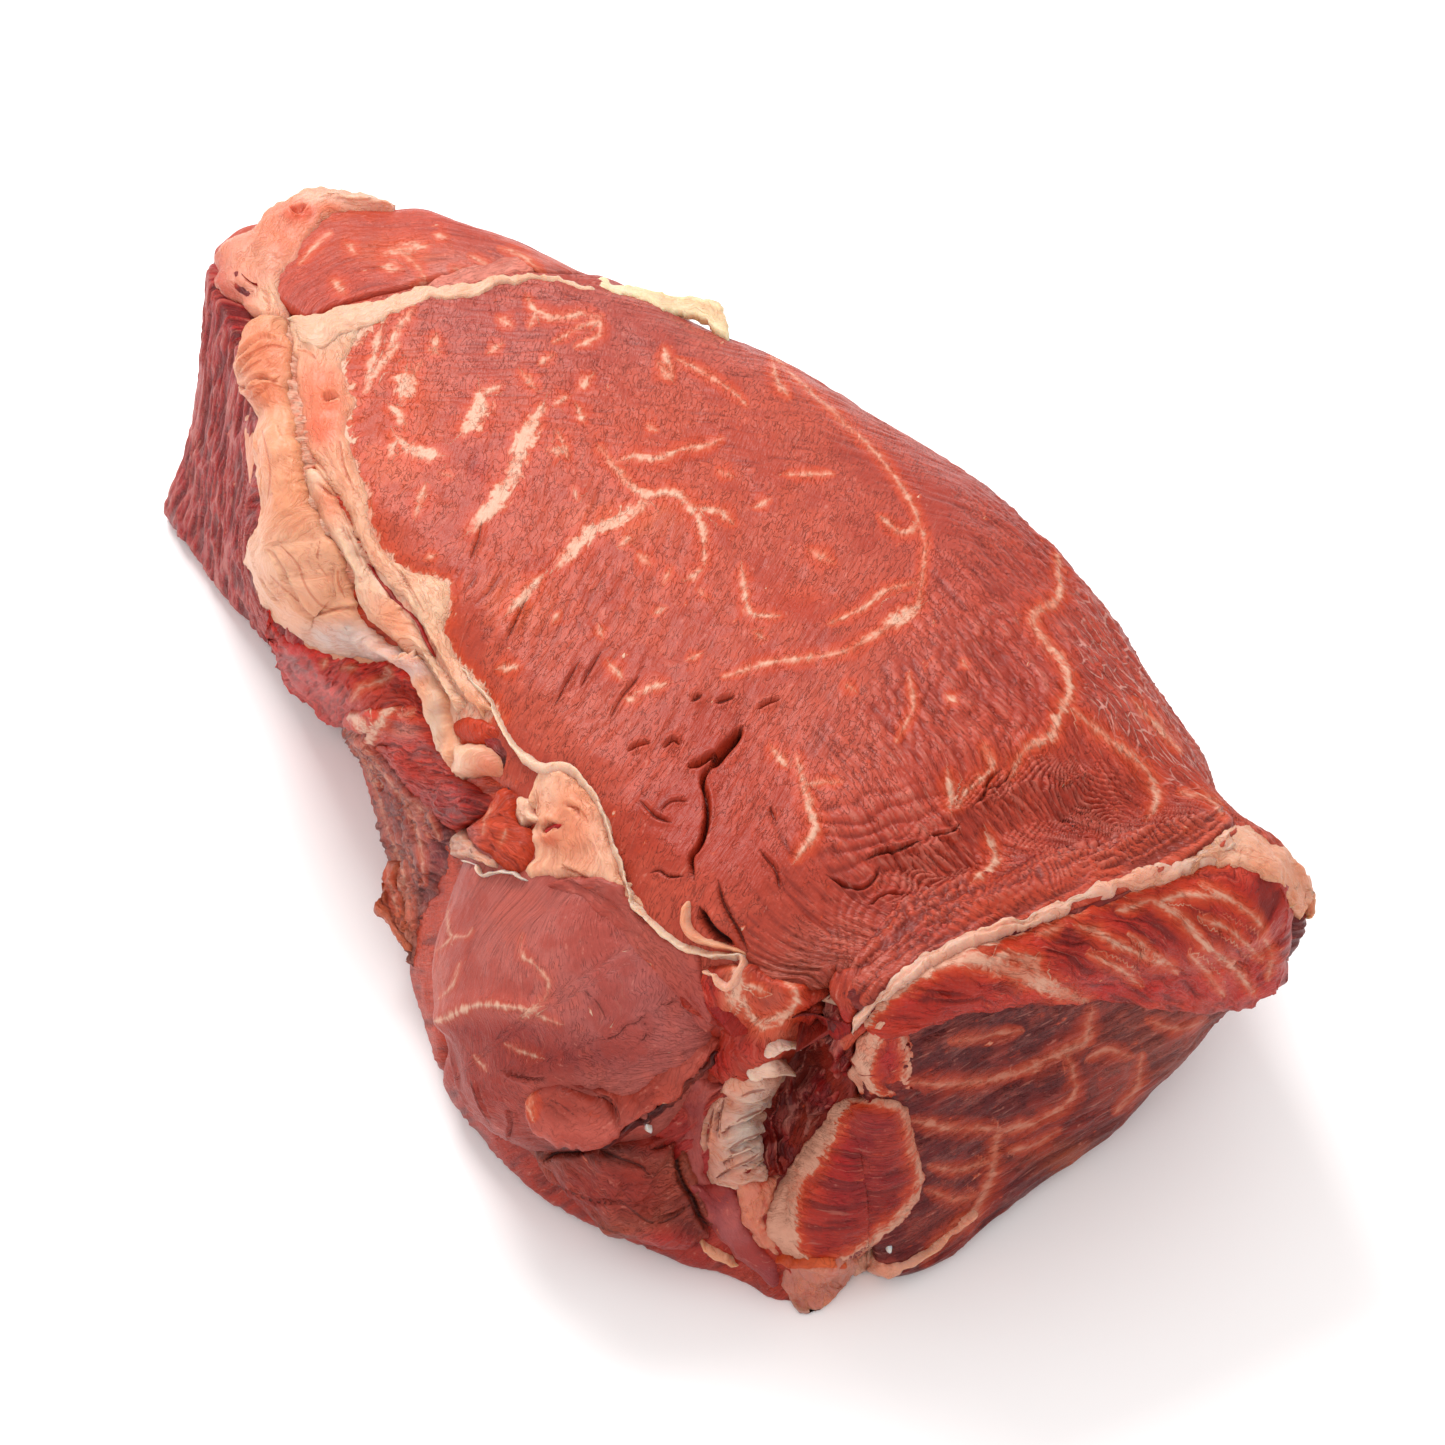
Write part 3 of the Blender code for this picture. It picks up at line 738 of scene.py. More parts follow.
def muscleGrid(muscle):  # rows climb the side from the foot to the rim, then cross the face to the seam
    first, last = (stop * rimCount / len(stationTable) for stop in muscle["stops"])
    columns, wallRows = muscle["columns"], muscle["wallRows"]
    share = np.linspace(0, 1, columns) ** muscle.get("bias", 1.0)
    stops = first + (last - first) * share
    drops = np.linspace(1, 0, wallRows)
    wall = np.stack([wallPoint(bent(stops, drop), np.full(columns, drop)) for drop in drops], axis=1)
    rim = closedCurve(rimEdge, stops)[:, :2]
    ends = [np.vstack([rim[k], *muscle.get(side, []), muscle["seam"][k]])
            for k, side in ((0, "start"), (-1, "end"))]
    seam = evenCurve(muscle["seam"], 4 * columns)[np.round(share * (4 * columns - 1)).astype(int)]
    plan = coonsGrid(rim, seam, *(evenCurve(end, muscle["faceRows"]) for end in ends))
    face = np.dstack([plan, faceHeight(plan.reshape(-1, 2)).reshape(plan.shape[:2])])
    face[:, 0, 2] = wall[:, -1, 2]
    if muscle.get("straight"):  # a quarter ellipse from the rim up to the seam
        part = np.linspace(0, 1, muscle["faceRows"])[None, :, None]
        top = np.column_stack([seam, faceHeight(seam) - 1.5])[:, None]
        low = wall[:, -1:]
        face = low + (top - low) * np.concatenate([part, part, np.sqrt(1 - (1 - part) ** 2)], axis=2)
    return roundedBehind(nudged(np.concatenate([wall, face[:, 1:]], axis=1)), wallRows)


cavity = {"path": [(115, -29, 68), (117, -33, 60), (119, -37, 51), (120, -41, 42), (122, -44, 33),
                   (124, -45, 24)],
          "reach": [4, 8, 11, 11, 8, 5], "depth": [3, 9, 14, 13, 8, 3], "inward": (-0.86, 0.42, -0.28),
          "middle": (119, -40, 45), "around": 60}  # only what lies around its middle is looked at


def hollowed(points):  # pushes what lies near the cavity's path into the block
    path = evenCurve(np.column_stack([cavity["path"], cavity["reach"], cavity["depth"]]), 40)
    moved = points.reshape(-1, 3).copy()
    close = np.flatnonzero(np.linalg.norm(moved - np.array(cavity["middle"]), axis=1) < cavity["around"])
    spread = np.linalg.norm(moved[close, None] - path[None, :, :3], axis=2) / path[None, :, 3]
    nearestStop = spread.argmin(1)
    share = np.clip(1 - spread.min(1) ** 2, 0, 1) ** 1.5
    inward = np.array(cavity["inward"]) / np.linalg.norm(cavity["inward"])
    moved[close] += inward * (path[nearestStop, 4] * share)[:, None]
    return moved.reshape(points.shape)


creases = {"foldMiddle": 0.64, "fibreMiddle": 0.55, "fibreHeight": 1.6,  # a middle taken off leaves about 0
          "valley": (0.04, 0.34), "ridge": (0.08, 0.34)}  # millimetres at which a valley's painted shade and a ridge's painted highlight show


def folds(value):  # rounded tops with sharp valleys at whole numbers
    return np.abs(np.sin(np.pi * value)) ** 0.75 - creases["foldMiddle"]


def triangleWave(value):  # between -1 and 1
    return 2 * np.abs(2 * (value - np.floor(value + 0.5))) - 1


def fibreRelief(u, v, turnDegrees, along, across, seed):  # ridges along a direction of the grid
    angle = math.radians(turnDegrees)
    ahead = u * math.cos(angle) + v * math.sin(angle)
    aside = -u * math.sin(angle) + v * math.cos(angle)
    value = layeredNoise(np.dstack([ahead / along, aside / across]), 1.0, 2, seed)
    return 1 - np.abs(value) * creases["fibreHeight"] - creases["fibreMiddle"]


def eyeSlope(place, facing):  # 1 where the face falls away to the far and right sides, 0 on the broad face
    return np.clip(ramp(place[:, 0] + 0.60 * place[:, 1], 1215, 1400) * facing + 1 - facing, 0, 1)


def eyeRelief(place, points, u, v, facing):  # the face's swell, and its fine texture apart
    shape = u.shape
    x, y = place[:, 0].reshape(shape), place[:, 1].reshape(shape)
    mask = facing.reshape(shape)
    flat = points.reshape(-1, 3)
    wander = layeredNoise(flat, 9, 2, 5).reshape(shape)
    swell = 0.55 * layeredNoise(flat, 24, 3, 2) + 0.20 * layeredNoise(flat, 5, 2, 3)
    swell = swell.reshape(shape)
    slope = eyeSlope(place, facing).reshape(shape)
    upper = ramp(380 - y + 0.28 * x, 40, 130) * mask
    middle = np.clip(1 - slope - upper, 0, 1)

    def area(key, low, high):
        return ramp(insideOutline(place, eyeMuscle[key]).reshape(shape), low, high) * mask

    herring = area("herringbone", -12, 40)
    texture = slope * 0.46 * fibreRelief(u, v, 6, 22, 1.5, 11)
    texture += slope * 0.22 * fibreRelief(u, v, 12, 9, 1.0, 14)
    texture += upper * 0.13 * fibreRelief(u, v, 50, 9, 1.5, 12)
    texture += middle * (1 - 0.8 * herring) * 0.11 * fibreRelief(u, v, 128, 12, 1.8, 13)
    phase = (y + 0.34 * x + 18 * wander) / 74
    swell += herring * 1.1 * triangleWave(phase)
    row = x + 0.12 * (y - 850) + 19 * triangleWave(phase) + 7 * wander
    spacing = 9.5 - 2.0 * ramp(x, 1040, 1160)
    strength = 0.45 + 0.55 * ramp(layeredNoise(flat, 15, 2, 7).reshape(shape), -0.6, 0.7)
    texture += herring * strength * 1.25 * folds(row / spacing)
    texture += area("slashes", -25, 30) * 0.26 * folds((0.83 * x + 0.55 * y + 10 * wander) / 15)
    texture += area("bands", -15, 30) * 0.55 * folds((y + 0.22 * x + 9 * wander) / 17)
    texture += area("upright", -15, 30) * 0.36 * folds((x - 0.15 * y + 14 * wander) / 14)
    texture += area("uprightLow", -15, 25) * 0.36 * folds((x + 0.25 * y + 16 * wander) / 13)
    return swell, texture


seamFatArea = [225,300, 285,300, 292,318, 335,312, 395,303, 386,318, 366,336, 350,350, 345,368, 352,390,
    358,402, 350,425, 352,448, 360,470, 370,495, 372,520, 380,542, 396,562, 424,574, 453,583, 452,610,
    448,634, 458,658, 480,680, 500,715, 440,750, 400,690, 300,650, 240,560, 232,400]
eyeMuscle = dict(
    stops=(15.0, 20.5), columns=640, wallRows=66, faceRows=330, bias=1.12, parts=3,
    start=[(122, 36), (121, 15), (120, -5), (118, -23)],
    seam=[(112, -37), (101, -45), (86, -52), (71, -56), (52, -57), (33, -59), (7, -58), (-15, -56),
        (-30, -54), (-49, -51), (-66, -48), (-84, -42)],
    end=[(-71, 14), (-77, 3), (-81, -12), (-84, -28)], lift=1.0, sink=1.4, roll=(9, 3, 3, 2),
    relief=eyeRelief, seed=1, grainTurn=128, crack=0.8, fibre=0.35, fatShare=0.55, slope=eyeSlope,
    slopeTurn=8, netArea=[1075,590, 1110,600, 1170,680, 1225,790, 1190,815, 1160,780, 1100,730, 1075,690],
    slashes=[430,560, 620,545, 650,700, 580,770, 520,740, 470,660], lean=(201, 104, 90),
    hiddenLean=(170, 74, 64),
    fatAreas=[seamFatArea],
    herringbone=[860,870, 900,820, 960,770, 1040,740, 1130,760, 1200,800, 1226,835, 1120,888, 1010,925,
        930,955, 880,940],
    bands=[795,790, 960,780, 975,850, 900,905, 830,880],
    uprightLow=[830,885, 930,900, 985,905, 930,965, 860,1000, 800,960],
    upright=[930,600, 1060,600, 1060,740, 960,780, 860,790, 850,700],
    tones=[(612,522, 34,16, 240,134,98), (666,512, 30,14, 238,126,92), (520,600, 26,20, 236,122,88),
        (478,470, 9,14, 176,64,56), (392,455, 24,26, 234,118,86), (800,605, 24,16, 208,92,74),
        (600,520, 190,150, 204,101,84), (640,315, 230,50, 186,108,102), (1090,640, 110,190, 192,88,78),
        (960,430, 100,110, 182,92,84), (960,880, 190,60, 204,96,84), (815,935, 55,75, 184,98,86),
        (385,400, 40,70, 216,106,80), (700,790, 70,70, 186,84,70), (1060,800, 120,70, 204,94,80),
        # the dark tone at (812, 1085) is painted shade in the cavity
        (812,1085, 34,70, 96,34,27), (800,978, 50,18, 172,98,84)],
    veins=[(8, [541,409, 523,446, 512,480, 489,509, 472,528]), (9, [480,394, 481,408, 474,422, 464,432]),
        (2.4, [484,392, 500,386]), (9, [406,372, 404,388, 402,400]), (5, [392,408, 400,416, 404,424]),
        (3.4, [398,344, 388,356, 374,374, 364,392]), (2.6, [420,362, 414,372, 410,384]),
        (4, [436,336, 434,348, 437,352]), (3, [412,310, 400,326, 386,350]),
        (6, [396,436, 404,446, 422,454, 440,456]), (4, [396,440, 390,456]),
        (3.4, [424,487, 420,500, 416,513]), (2.6, [528,296, 536,310, 556,318, 580,314, 600,318]),
        (2.2, [600,318, 598,336, 578,348]), (2.0, [536,310, 530,326]), (4, [660,366, 669,376]),
        (2.8, [664,350, 668,364]), (3, [500,318, 510,324]), (2.4, [490,350, 500,344]),
        (3, [556,404, 566,398]), (2.4, [542,364, 552,358]), (3, [580,388, 590,378]),
        (2.4, [442,474, 450,476]), (2.4, [428,558, 434,556]), (3.2, [550,452, 562,455]),
        (2, [554,620, 559,614]), (3, [640,556, 650,563]), (2.6, [574,492, 577,500]),
        (3, [670,570, 665,581]), (2.6, [600,628, 602,634]), (3.6, [500,668, 516,666]),
        (2.4, [648,425, 654,428]), (3.4, [700,571, 690,577]), (3, [811,551, 831,562]),
        (2.4, [757,636, 764,640]), (2.4, [720,470, 730,474]), (2.2, [756,505, 768,500]),
        (3, [620,545, 630,538]), (2.4, [700,590, 706,596]), (2.2, [655,612, 664,608]),
        (2.4, [690,660, 698,656]), (4, [524,374, 534,387]), (3, [559,436, 567,457]),
        (3, [577,407, 583,421]), (4, [380,331, 372,360, 368,390]),
        (3.6, [601,450, 615,468, 629,485, 646,495, 672,494, 689,506, 701,526, 704,540, 705,562]),
        (2.6, [615,464, 635,457, 655,460, 678,451, 701,445, 720,439]), (3.2, [698,508, 718,511, 732,521]),
        (7, [645,504, 623,517, 598,528, 580,543, 558,565]),
        (3.0, [742,567, 744,586, 747,603, 753,615, 778,617]), (1.8, [676,358, 707,374, 738,396, 746,404]),
        (2.4, [772,357, 778,382, 788,396]), (1.8, [600,321, 577,330, 555,343]), (1.8, [668,357, 673,376]),
        (2.2, [912,582, 882,592, 865,606, 831,624]),
        (2.2, [915,612, 873,635, 847,652, 816,658, 773,663, 725,678]), (6, [918,606, 902,616, 886,624]),
        (2.2, [880,516, 902,531, 918,523]), (1.6, [785,474, 832,474]), (3.4, [773,748, 786,764]),
        (3.6, [797,757, 804,787, 811,812, 815,830, 797,858]), (2.0, [810,783, 840,782]),
        (3.4, [610,664, 620,676]), (3.4, [638,693, 666,685]), (3.0, [627,700, 634,702]),
        (3.0, [949,698, 955,703]), (3.4, [984,748, 992,766, 980,780, 966,792, 958,808]),
        (3.4, [948,773, 951,792, 950,812]), (5, [510,612, 524,596, 541,578]),
        (1.8, [776,356, 804,385, 827,405, 856,431, 882,457, 902,485, 916,511, 925,540, 923,569, 919,597,
        912,614]),
        (4.2, [1057,556, 1061,584, 1055,601, 1034,615, 1045,638, 1062,658, 1071,684, 1068,696, 1057,719,
        1051,736, 1025,750, 1012,775]),
        (3.2, [1074,708, 1100,730, 1126,750, 1146,770, 1157,793, 1149,818]),
        (1.6, [909,675, 913,707, 897,740]), (2.2, [1134,699, 1154,719, 1181,750]),
        (2.2, [1181,790, 1209,798, 1224,817]), (4, [988,833, 996,856, 976,878]), (3.0, [846,686, 852,690]),
        (2.4, [963,662, 966,666])],
    cuts=[(4.6, 4.2, 0.3, [742,727, 732,741, 722,752, 712,766]),
        (2.4, 3.6, 0.25, [716,758, 703,778, 707,798, 707,818, 701,842, 691,858, 694,880]),
        (3, 2.4, 0.3, [715,752, 700,762, 688,766]), (4.4, 3.6, 0.3, [700,908, 706,922, 716,934, 733,944]),
        (2.2, 1.4, 0.3, [718,880, 724,905, 738,930, 748,952]), (2, 1.3, 0.3, [628,751, 638,745, 650,743]),
        (2, 1.2, 0.3, [664,748, 673,740, 680,745]), (2, 1.2, 0.3, [758,709, 768,703, 779,700]),
        (2.4, 0.9, 0.3, [716,704, 727,700, 735,697]), (2.4, 0.9, 0.3, [692,703, 702,697]),
        (1.5, 0.8, 0.2, [648,873, 658,870, 668,876, 684,876]),
        (1.9, 1.4, 0.7, [866,859, 880,853, 900,850, 922,842]),
        (1.5, 0.9, 0.4, [928,838, 950,834, 960,824]),
        (1.8, 1.0, 0.4, [972,808, 984,796, 990,778, 1002,768]),
        (1.8, 0.9, 0.5, [826,876, 845,886, 862,889, 874,880, 880,866]),
        (1.6, 0.7, 0.4, [868,906, 890,894, 918,896]), (1.4, 0.5, 0.4, [986,790, 1004,782, 1014,764]),
        (1.6, 0.7, 0.3, [553,706, 566,684, 580,658]), (1.6, 0.7, 0.3, [580,689, 590,670, 601,651]),
        (1.6, 0.7, 0.3, [506,640, 520,612, 528,596]), (1.6, 0.6, 0.3, [610,720, 622,698, 640,676]),
        (1.6, 0.6, 0.3, [470,562, 478,540, 482,520]), (1.5, 0.6, 0.2, [660,810, 672,800, 688,800]),
        (2.0, 0.8, 0.3, [640,800, 655,815, 672,822]), (2.0, 0.8, 0.3, [760,850, 776,870, 780,890]),
        (1.8, 1.0, 0.3, [770,806, 776,820]), (2, 1.4, 0.4, [822,1010, 832,985, 836,962])])
farMuscle = dict(
    stops=(20.5, 24.0), columns=300, wallRows=80, faceRows=120,
    seam=[(-71, 14), (-77, 3), (-81, -12), (-84, -28), (-84, -38)], end=[(-100, -42)], lift=0.6, sink=1.4,
    roll=(9, 1.5, 2, 2), seed=2, grainTurn=8, crack=0.3, fibre=0.35, fatShare=0.45, lean=(203, 101, 87),
    hiddenLean=(170, 74, 64), coarse=0.16,
    tones=[(405,252, 30,10, 224,120,92), (470,282, 40,16, 210,146,134), (540,262, 50,14, 212,128,116),
        (340,235, 60,22, 212,100,76), (330,285, 40,24, 196,92,80), (420,222, 50,12, 202,96,84)],
    veins=[(4, [383,252, 400,248, 424,246]), (2.2, [452,270, 470,276, 492,284]), (3.4, [334,282, 343,292]),
        (3, [347,244, 354,250]), (3.4, [384,266, 398,268]), (1.6, [396,248, 414,262, 426,280]),
        (1.6, [470,258, 486,268, 500,282]), (2, [414,286, 428,284, 442,280]),
        (1.6, [500,250, 520,256, 545,276]), (1.6, [300,262, 318,240, 330,232]), (2.4, [436,236, 446,238])])
leftWall = dict(
    stops=(0.0, 4.4), columns=240, wallRows=160, faceRows=30,
    seam=[(-100, -43), (-84, -40), (-66, -45), (-49, -48), (-30, -51), (-15, -53)], lift=1.0, sink=3.0,
    roll=(7, 4, 5, 5), seed=3, coarse=0.75, grainTurn=86, crack=0.8, fibre=0.9, lean=(162, 68, 54),
    hiddenLean=(152, 72, 64), lit=0.72,
    fatAreas=[[270,312, 300,316, 316,470, 372,560, 440,690, 480,750, 440,750, 350,640, 290,540, 280,430]])
shelfSide = dict(
    straight=True, stops=(4.4, 7.2), columns=110, wallRows=100, faceRows=20,
    seam=[(-15, -53), (7, -55), (33, -56), (48, -54)], lift=0.0, sink=3.0, roll=(7, 4, 4, 4), seed=4,
    grainTurn=70, fibre=0.6, lean=(178, 84, 70), hiddenLean=(160, 76, 66), lit=0.72)
frontLeft = dict(
    straight=True, stops=(7.2, 10.8), columns=150, wallRows=90, faceRows=26,
    seam=[(48, -54), (70, -53), (88, -50), (101, -44), (111, -38)], lift=0.0, sink=3.0, roll=(7, 4, 4, 4),
    seed=5, grainTurn=60, lean=(160, 78, 66), hiddenLean=(150, 72, 62), lit=0.75,
    # the dark tone at (812, 1090) is painted shade in the cavity
    tones=[(812,1090, 34,70, 88,26,20), (700,1180, 40,60, 150,74,76)])
frontWall = dict(
    stops=(10.8, 15.0), columns=190, wallRows=150, faceRows=24,
    seam=[(116, -33), (119, -23), (121, -5), (122, 15), (122, 36), (119, 54)], lift=1.0, sink=3.0,
    roll=(7, 4, 4, 4), seed=6, coarse=0.45, paintedShade=0.55, grainTurn=4, crack=0.6, fibre=0.7,
    lean=(113, 41, 37), hiddenLean=(136, 56, 50), lit=0.75, veinStrength=0.6,
    # the dark tone at (815, 1090) is painted shade in the cavity
    tones=[(815,1090, 34,70, 100,32,26), (1000,1050, 90,40, 98,22,19), (1000,1160, 70,40, 104,46,44),
        (1000,1200, 120,50, 112,52,48), (1160,1050, 70,50, 146,90,82), (1075,1160, 60,14, 176,96,72)],
    veins=[(2.6, [910,1081, 945,1083, 976,1081, 1016,1074]),
        (3.4, [1092,1012, 1086,1041, 1066,1051, 1036,1066, 1016,1074]),
        (3, [1066,1051, 1076,1081, 1071,1101, 1041,1121, 1001,1132, 996,1152, 991,1182, 971,1217, 940,1242,
        925,1262]), (2.6, [910,1121, 950,1127, 991,1128, 1001,1132]),
        (2, [1143,1057, 1138,1086, 1116,1112]), (2, [930,1165, 955,1170, 990,1164]),
        (2.2, [928,1190, 955,1200, 980,1196]), (2, [1150,1022, 1180,1030, 1205,1020]),
        (2, [1090,1060, 1112,1052, 1132,1058]), (1.8, [1010,1150, 1035,1146, 1060,1132]),
        (1.8, [950,1040, 985,1036, 1020,1030])])


def shadeRelief(looks, texture):  # the finishes paint shade into the valleys and a highlight onto the ridges
    looks["shade"][:, 0] = ramp(-texture, *creases["valley"]).ravel()
    looks["shade"][:, 1] = ramp(texture, *creases["ridge"]).ravel()


def addMuscle(name, muscle):  # a grid swelling between its seams, with fibres, folds and cuts
    grid = muscleGrid(muscle)
    u, v = travelled(grid)
    normals = gridNormals(grid)
    lift = cushion(grid, muscle["roll"])
    raised = grid + normals * (lift * (muscle["lift"] + muscle["sink"]) - muscle["sink"])[..., None]
    flat = raised.reshape(-1, 3)
    place = toPhoto(flat)[0]
    facing = towardsView(normals)
    if "relief" in muscle:
        swell, texture = muscle["relief"](place, raised, u, v, facing)
    else:
        swell = 0.5 * layeredNoise(flat, 18, 3, muscle["seed"] + 20).reshape(u.shape)
        texture = fibreRelief(u, v, muscle["grainTurn"], 14, 2.1, muscle["seed"] + 30)
        texture *= muscle.get("coarse", 0.3)
    inside = np.clip(lift + 0.2, 0, 1)  # the relief fades towards the edges
    texture *= inside
    cuts = cutRelief(place, muscle.get("cuts", ())) * facing
    raised = raised + normals * (swell * inside + texture + cuts.reshape(u.shape))[..., None]
    raised = hollowed(raised)
    grain, slopeGrain = (grainPlaces(u, v, degrees, muscle["seed"])
                         for degrees in (muscle["grainTurn"], muscle.get("slopeTurn", muscle["grainTurn"])))
    slopeGrain[:, 2] = muscle["slope"](place, facing) if "slope" in muscle else 0
    looks = paint(flat, normals.reshape(-1, 3), grain, muscle, slopeGrain)
    shadeRelief(looks, texture)
    if "slope" in muscle:  # fibres show more on the slope, its valleys take less painted shade, and a pale net shows towards its near end
        looks["amount"][:, 1] += 0.5 * slopeGrain[:, 2]
        looks["shade"][:, 0] *= 1 - 0.55 * slopeGrain[:, 2]
        looks["amount"][:, 2] = facing * ramp(insideOutline(place, muscle["netArea"]), -20, 25)
    noteSeen(raised)
    depth = np.full(u.shape, muscle.get("depth", 7.0))
    addSlab(name, raised, normals, looks, depth, fleshMaterial, 8, muscle.get("parts", 1))


muscles = {"eyeMuscle": eyeMuscle, "farMuscle": farMuscle, "leftWall": leftWall, "shelfSide": shelfSide,
           "frontLeft": frontLeft, "frontWall": frontWall}
for name, muscle in muscles.items():
    addMuscle(name, muscle)
print("muscles made")


core = dict(  # how far inside the muscles it lies, and the line that its rings close on
    around=240, inset=3.6, spine=((-92, -18), (98, -2)), faceStops=14, wallStops=26, floorGap=0.4,
    lean=(120, 40, 36), crack=0.9, fibre=0.6, seed=9, fatShare=0.2)


def addRings(name, grid, recipe):  # a closed skin of rings that share their count of points
    along, around = grid.shape[:2]
    index = np.arange(along * around).reshape(along, around)
    ahead = np.roll(index, -1, axis=1)
    faces = np.stack([index[:-1], index[1:], ahead[1:], ahead[:-1]], axis=-1).reshape(-1, 4).tolist()
    faces += [index[0].tolist(), index[-1][::-1].tolist()]
    normals = ringNormals(grid)
    grain = grainPlaces(*ringTravelled(grid), 0, recipe["seed"])
    looks = paint(grid.reshape(-1, 3), normals.reshape(-1, 3), grain, recipe)
    addPiece(name, grid.reshape(-1, 3), faces, looks, fatMaterial if "fat" in recipe else fleshMaterial)


def ringTravelled(grid):  # millimetres from ring to ring, and round each ring
    ahead = np.linalg.norm(np.diff(grid, axis=0, prepend=grid[:1]), axis=2)
    around = np.linalg.norm(np.diff(grid, axis=1, prepend=grid[:, :1]), axis=2)
    return np.cumsum(ahead, axis=0), np.cumsum(around, axis=1)


def ringNormals(grid):  # unit normals of rings closed on themselves
    around = np.roll(grid, -1, axis=1) - np.roll(grid, 1, axis=1)
    normal = np.cross(np.gradient(grid, axis=0), around)
    return normal / np.maximum(np.linalg.norm(normal, axis=2, keepdims=True), 1e-9)


def coreGrid():  # rings over the face, down the sides and under, a little inside the muscles
    stops = np.linspace(0, rimCount, core["around"], endpoint=False)
    start, end = (np.array(point, float) for point in core["spine"])
    way = end - start
    rim = wallPoint(stops, np.zeros(len(stops)))[:, :2]
    share = np.clip((rim - start) @ way / (way @ way), 0, 1)
    target = start + share[:, None] * way
    rings = []
    for part in np.linspace(0.9, 0, core["faceStops"]):
        plan = rim + (target - rim) * (part + core["inset"] / 60 * (1 - part))
        rings.append(np.column_stack([plan, faceHeight(plan) - core["inset"]]))
    for drop in np.linspace(0, 1, core["wallStops"]):
        wall = wallPoint(stops, np.full(len(stops), drop))
        inward = target - wall[:, :2]
        inward /= np.linalg.norm(inward, axis=1, keepdims=True)
        height = np.maximum(wall[:, 2] - core["inset"] * (1 - drop), core["floorGap"])
        rings.append(np.column_stack([wall[:, :2] + inward * core["inset"], height]))
    foot = rings[-1]
    for part in (0.3, 0.6, 0.9):
        rings.append(np.column_stack([foot[:, :2] + (target - foot[:, :2]) * part, foot[:, 2]]))
    return hollowed(nudged(np.array(rings)[:, ::-1]))


addRings("core", coreGrid(), core)


def lumpGrid(lump):  # ellipse rings along a smooth path, closing to rounded ends
    along, around = lump["along"], lump["around"]
    path = evenCurve(lump["rings"], along)
    ahead = np.gradient(path[:, :3], axis=0)
    ahead /= np.linalg.norm(ahead, axis=1, keepdims=True)
    across = np.cross(lump["outward"], ahead)
    across /= np.linalg.norm(across, axis=1, keepdims=True)
    up = np.cross(ahead, across)
    t = np.abs(np.linspace(-1, 1, along))
    closing = np.sqrt(np.clip(1 - np.clip((t - 0.72) / 0.28, 0, 0.999) ** 2, 0, 1))[:, None, None]
    angle = np.linspace(0, 2 * np.pi, around, endpoint=False)[None, :, None]
    return (path[:, None, :3] + closing * (across[:, None] * np.cos(angle) * path[:, None, 3, None]
                                           + up[:, None] * np.sin(angle) * path[:, None, 4, None]))


def addLump(name, lump):  # its skin swells and ripples, and its cuts are drawn over the photograph
    grid = nudged(lumpGrid(lump))
    normals = ringNormals(grid)
    if (normals * (grid - grid.mean(1, keepdims=True))).sum() < 0:
        grid = grid[:, ::-1]
        normals = ringNormals(grid)
    flat = grid.reshape(-1, 3)
    shape = grid.shape[:2]
    facing = towardsView(normals)
    place = toPhoto(flat)[0]
    ripple = fibreRelief(*ringTravelled(grid), lump.get("grainTurn", 0), 12, 2.0, lump["seed"] + 30).ravel()
    relief = (lump.get("swell", 0.7) * layeredNoise(flat, lump.get("swellSize", 16), 3, lump["seed"] + 20)
              + lump.get("ripple", 0.2) * (ripple + creases["fibreMiddle"]))
    relief += cutRelief(place, lump.get("cuts", ())) * facing
    if "relief" in lump:
        relief += lump["relief"](place) * facing
    grid = grid + normals * relief.reshape(shape)[..., None]
    noteSeen(grid)
    addRings(name, grid, lump)


def lobeRelief(place):  # the front lobe's upper facet stands over its lower one
    side, distance = lineDistance(place, evenCurve(spots(frontLobe["ridge"]), 30))[:2]
    return 1.3 * np.exp(-(distance / 14) ** 2) - 1.5 * ramp(side, 0, 40) * np.exp(-(distance / 90) ** 2)


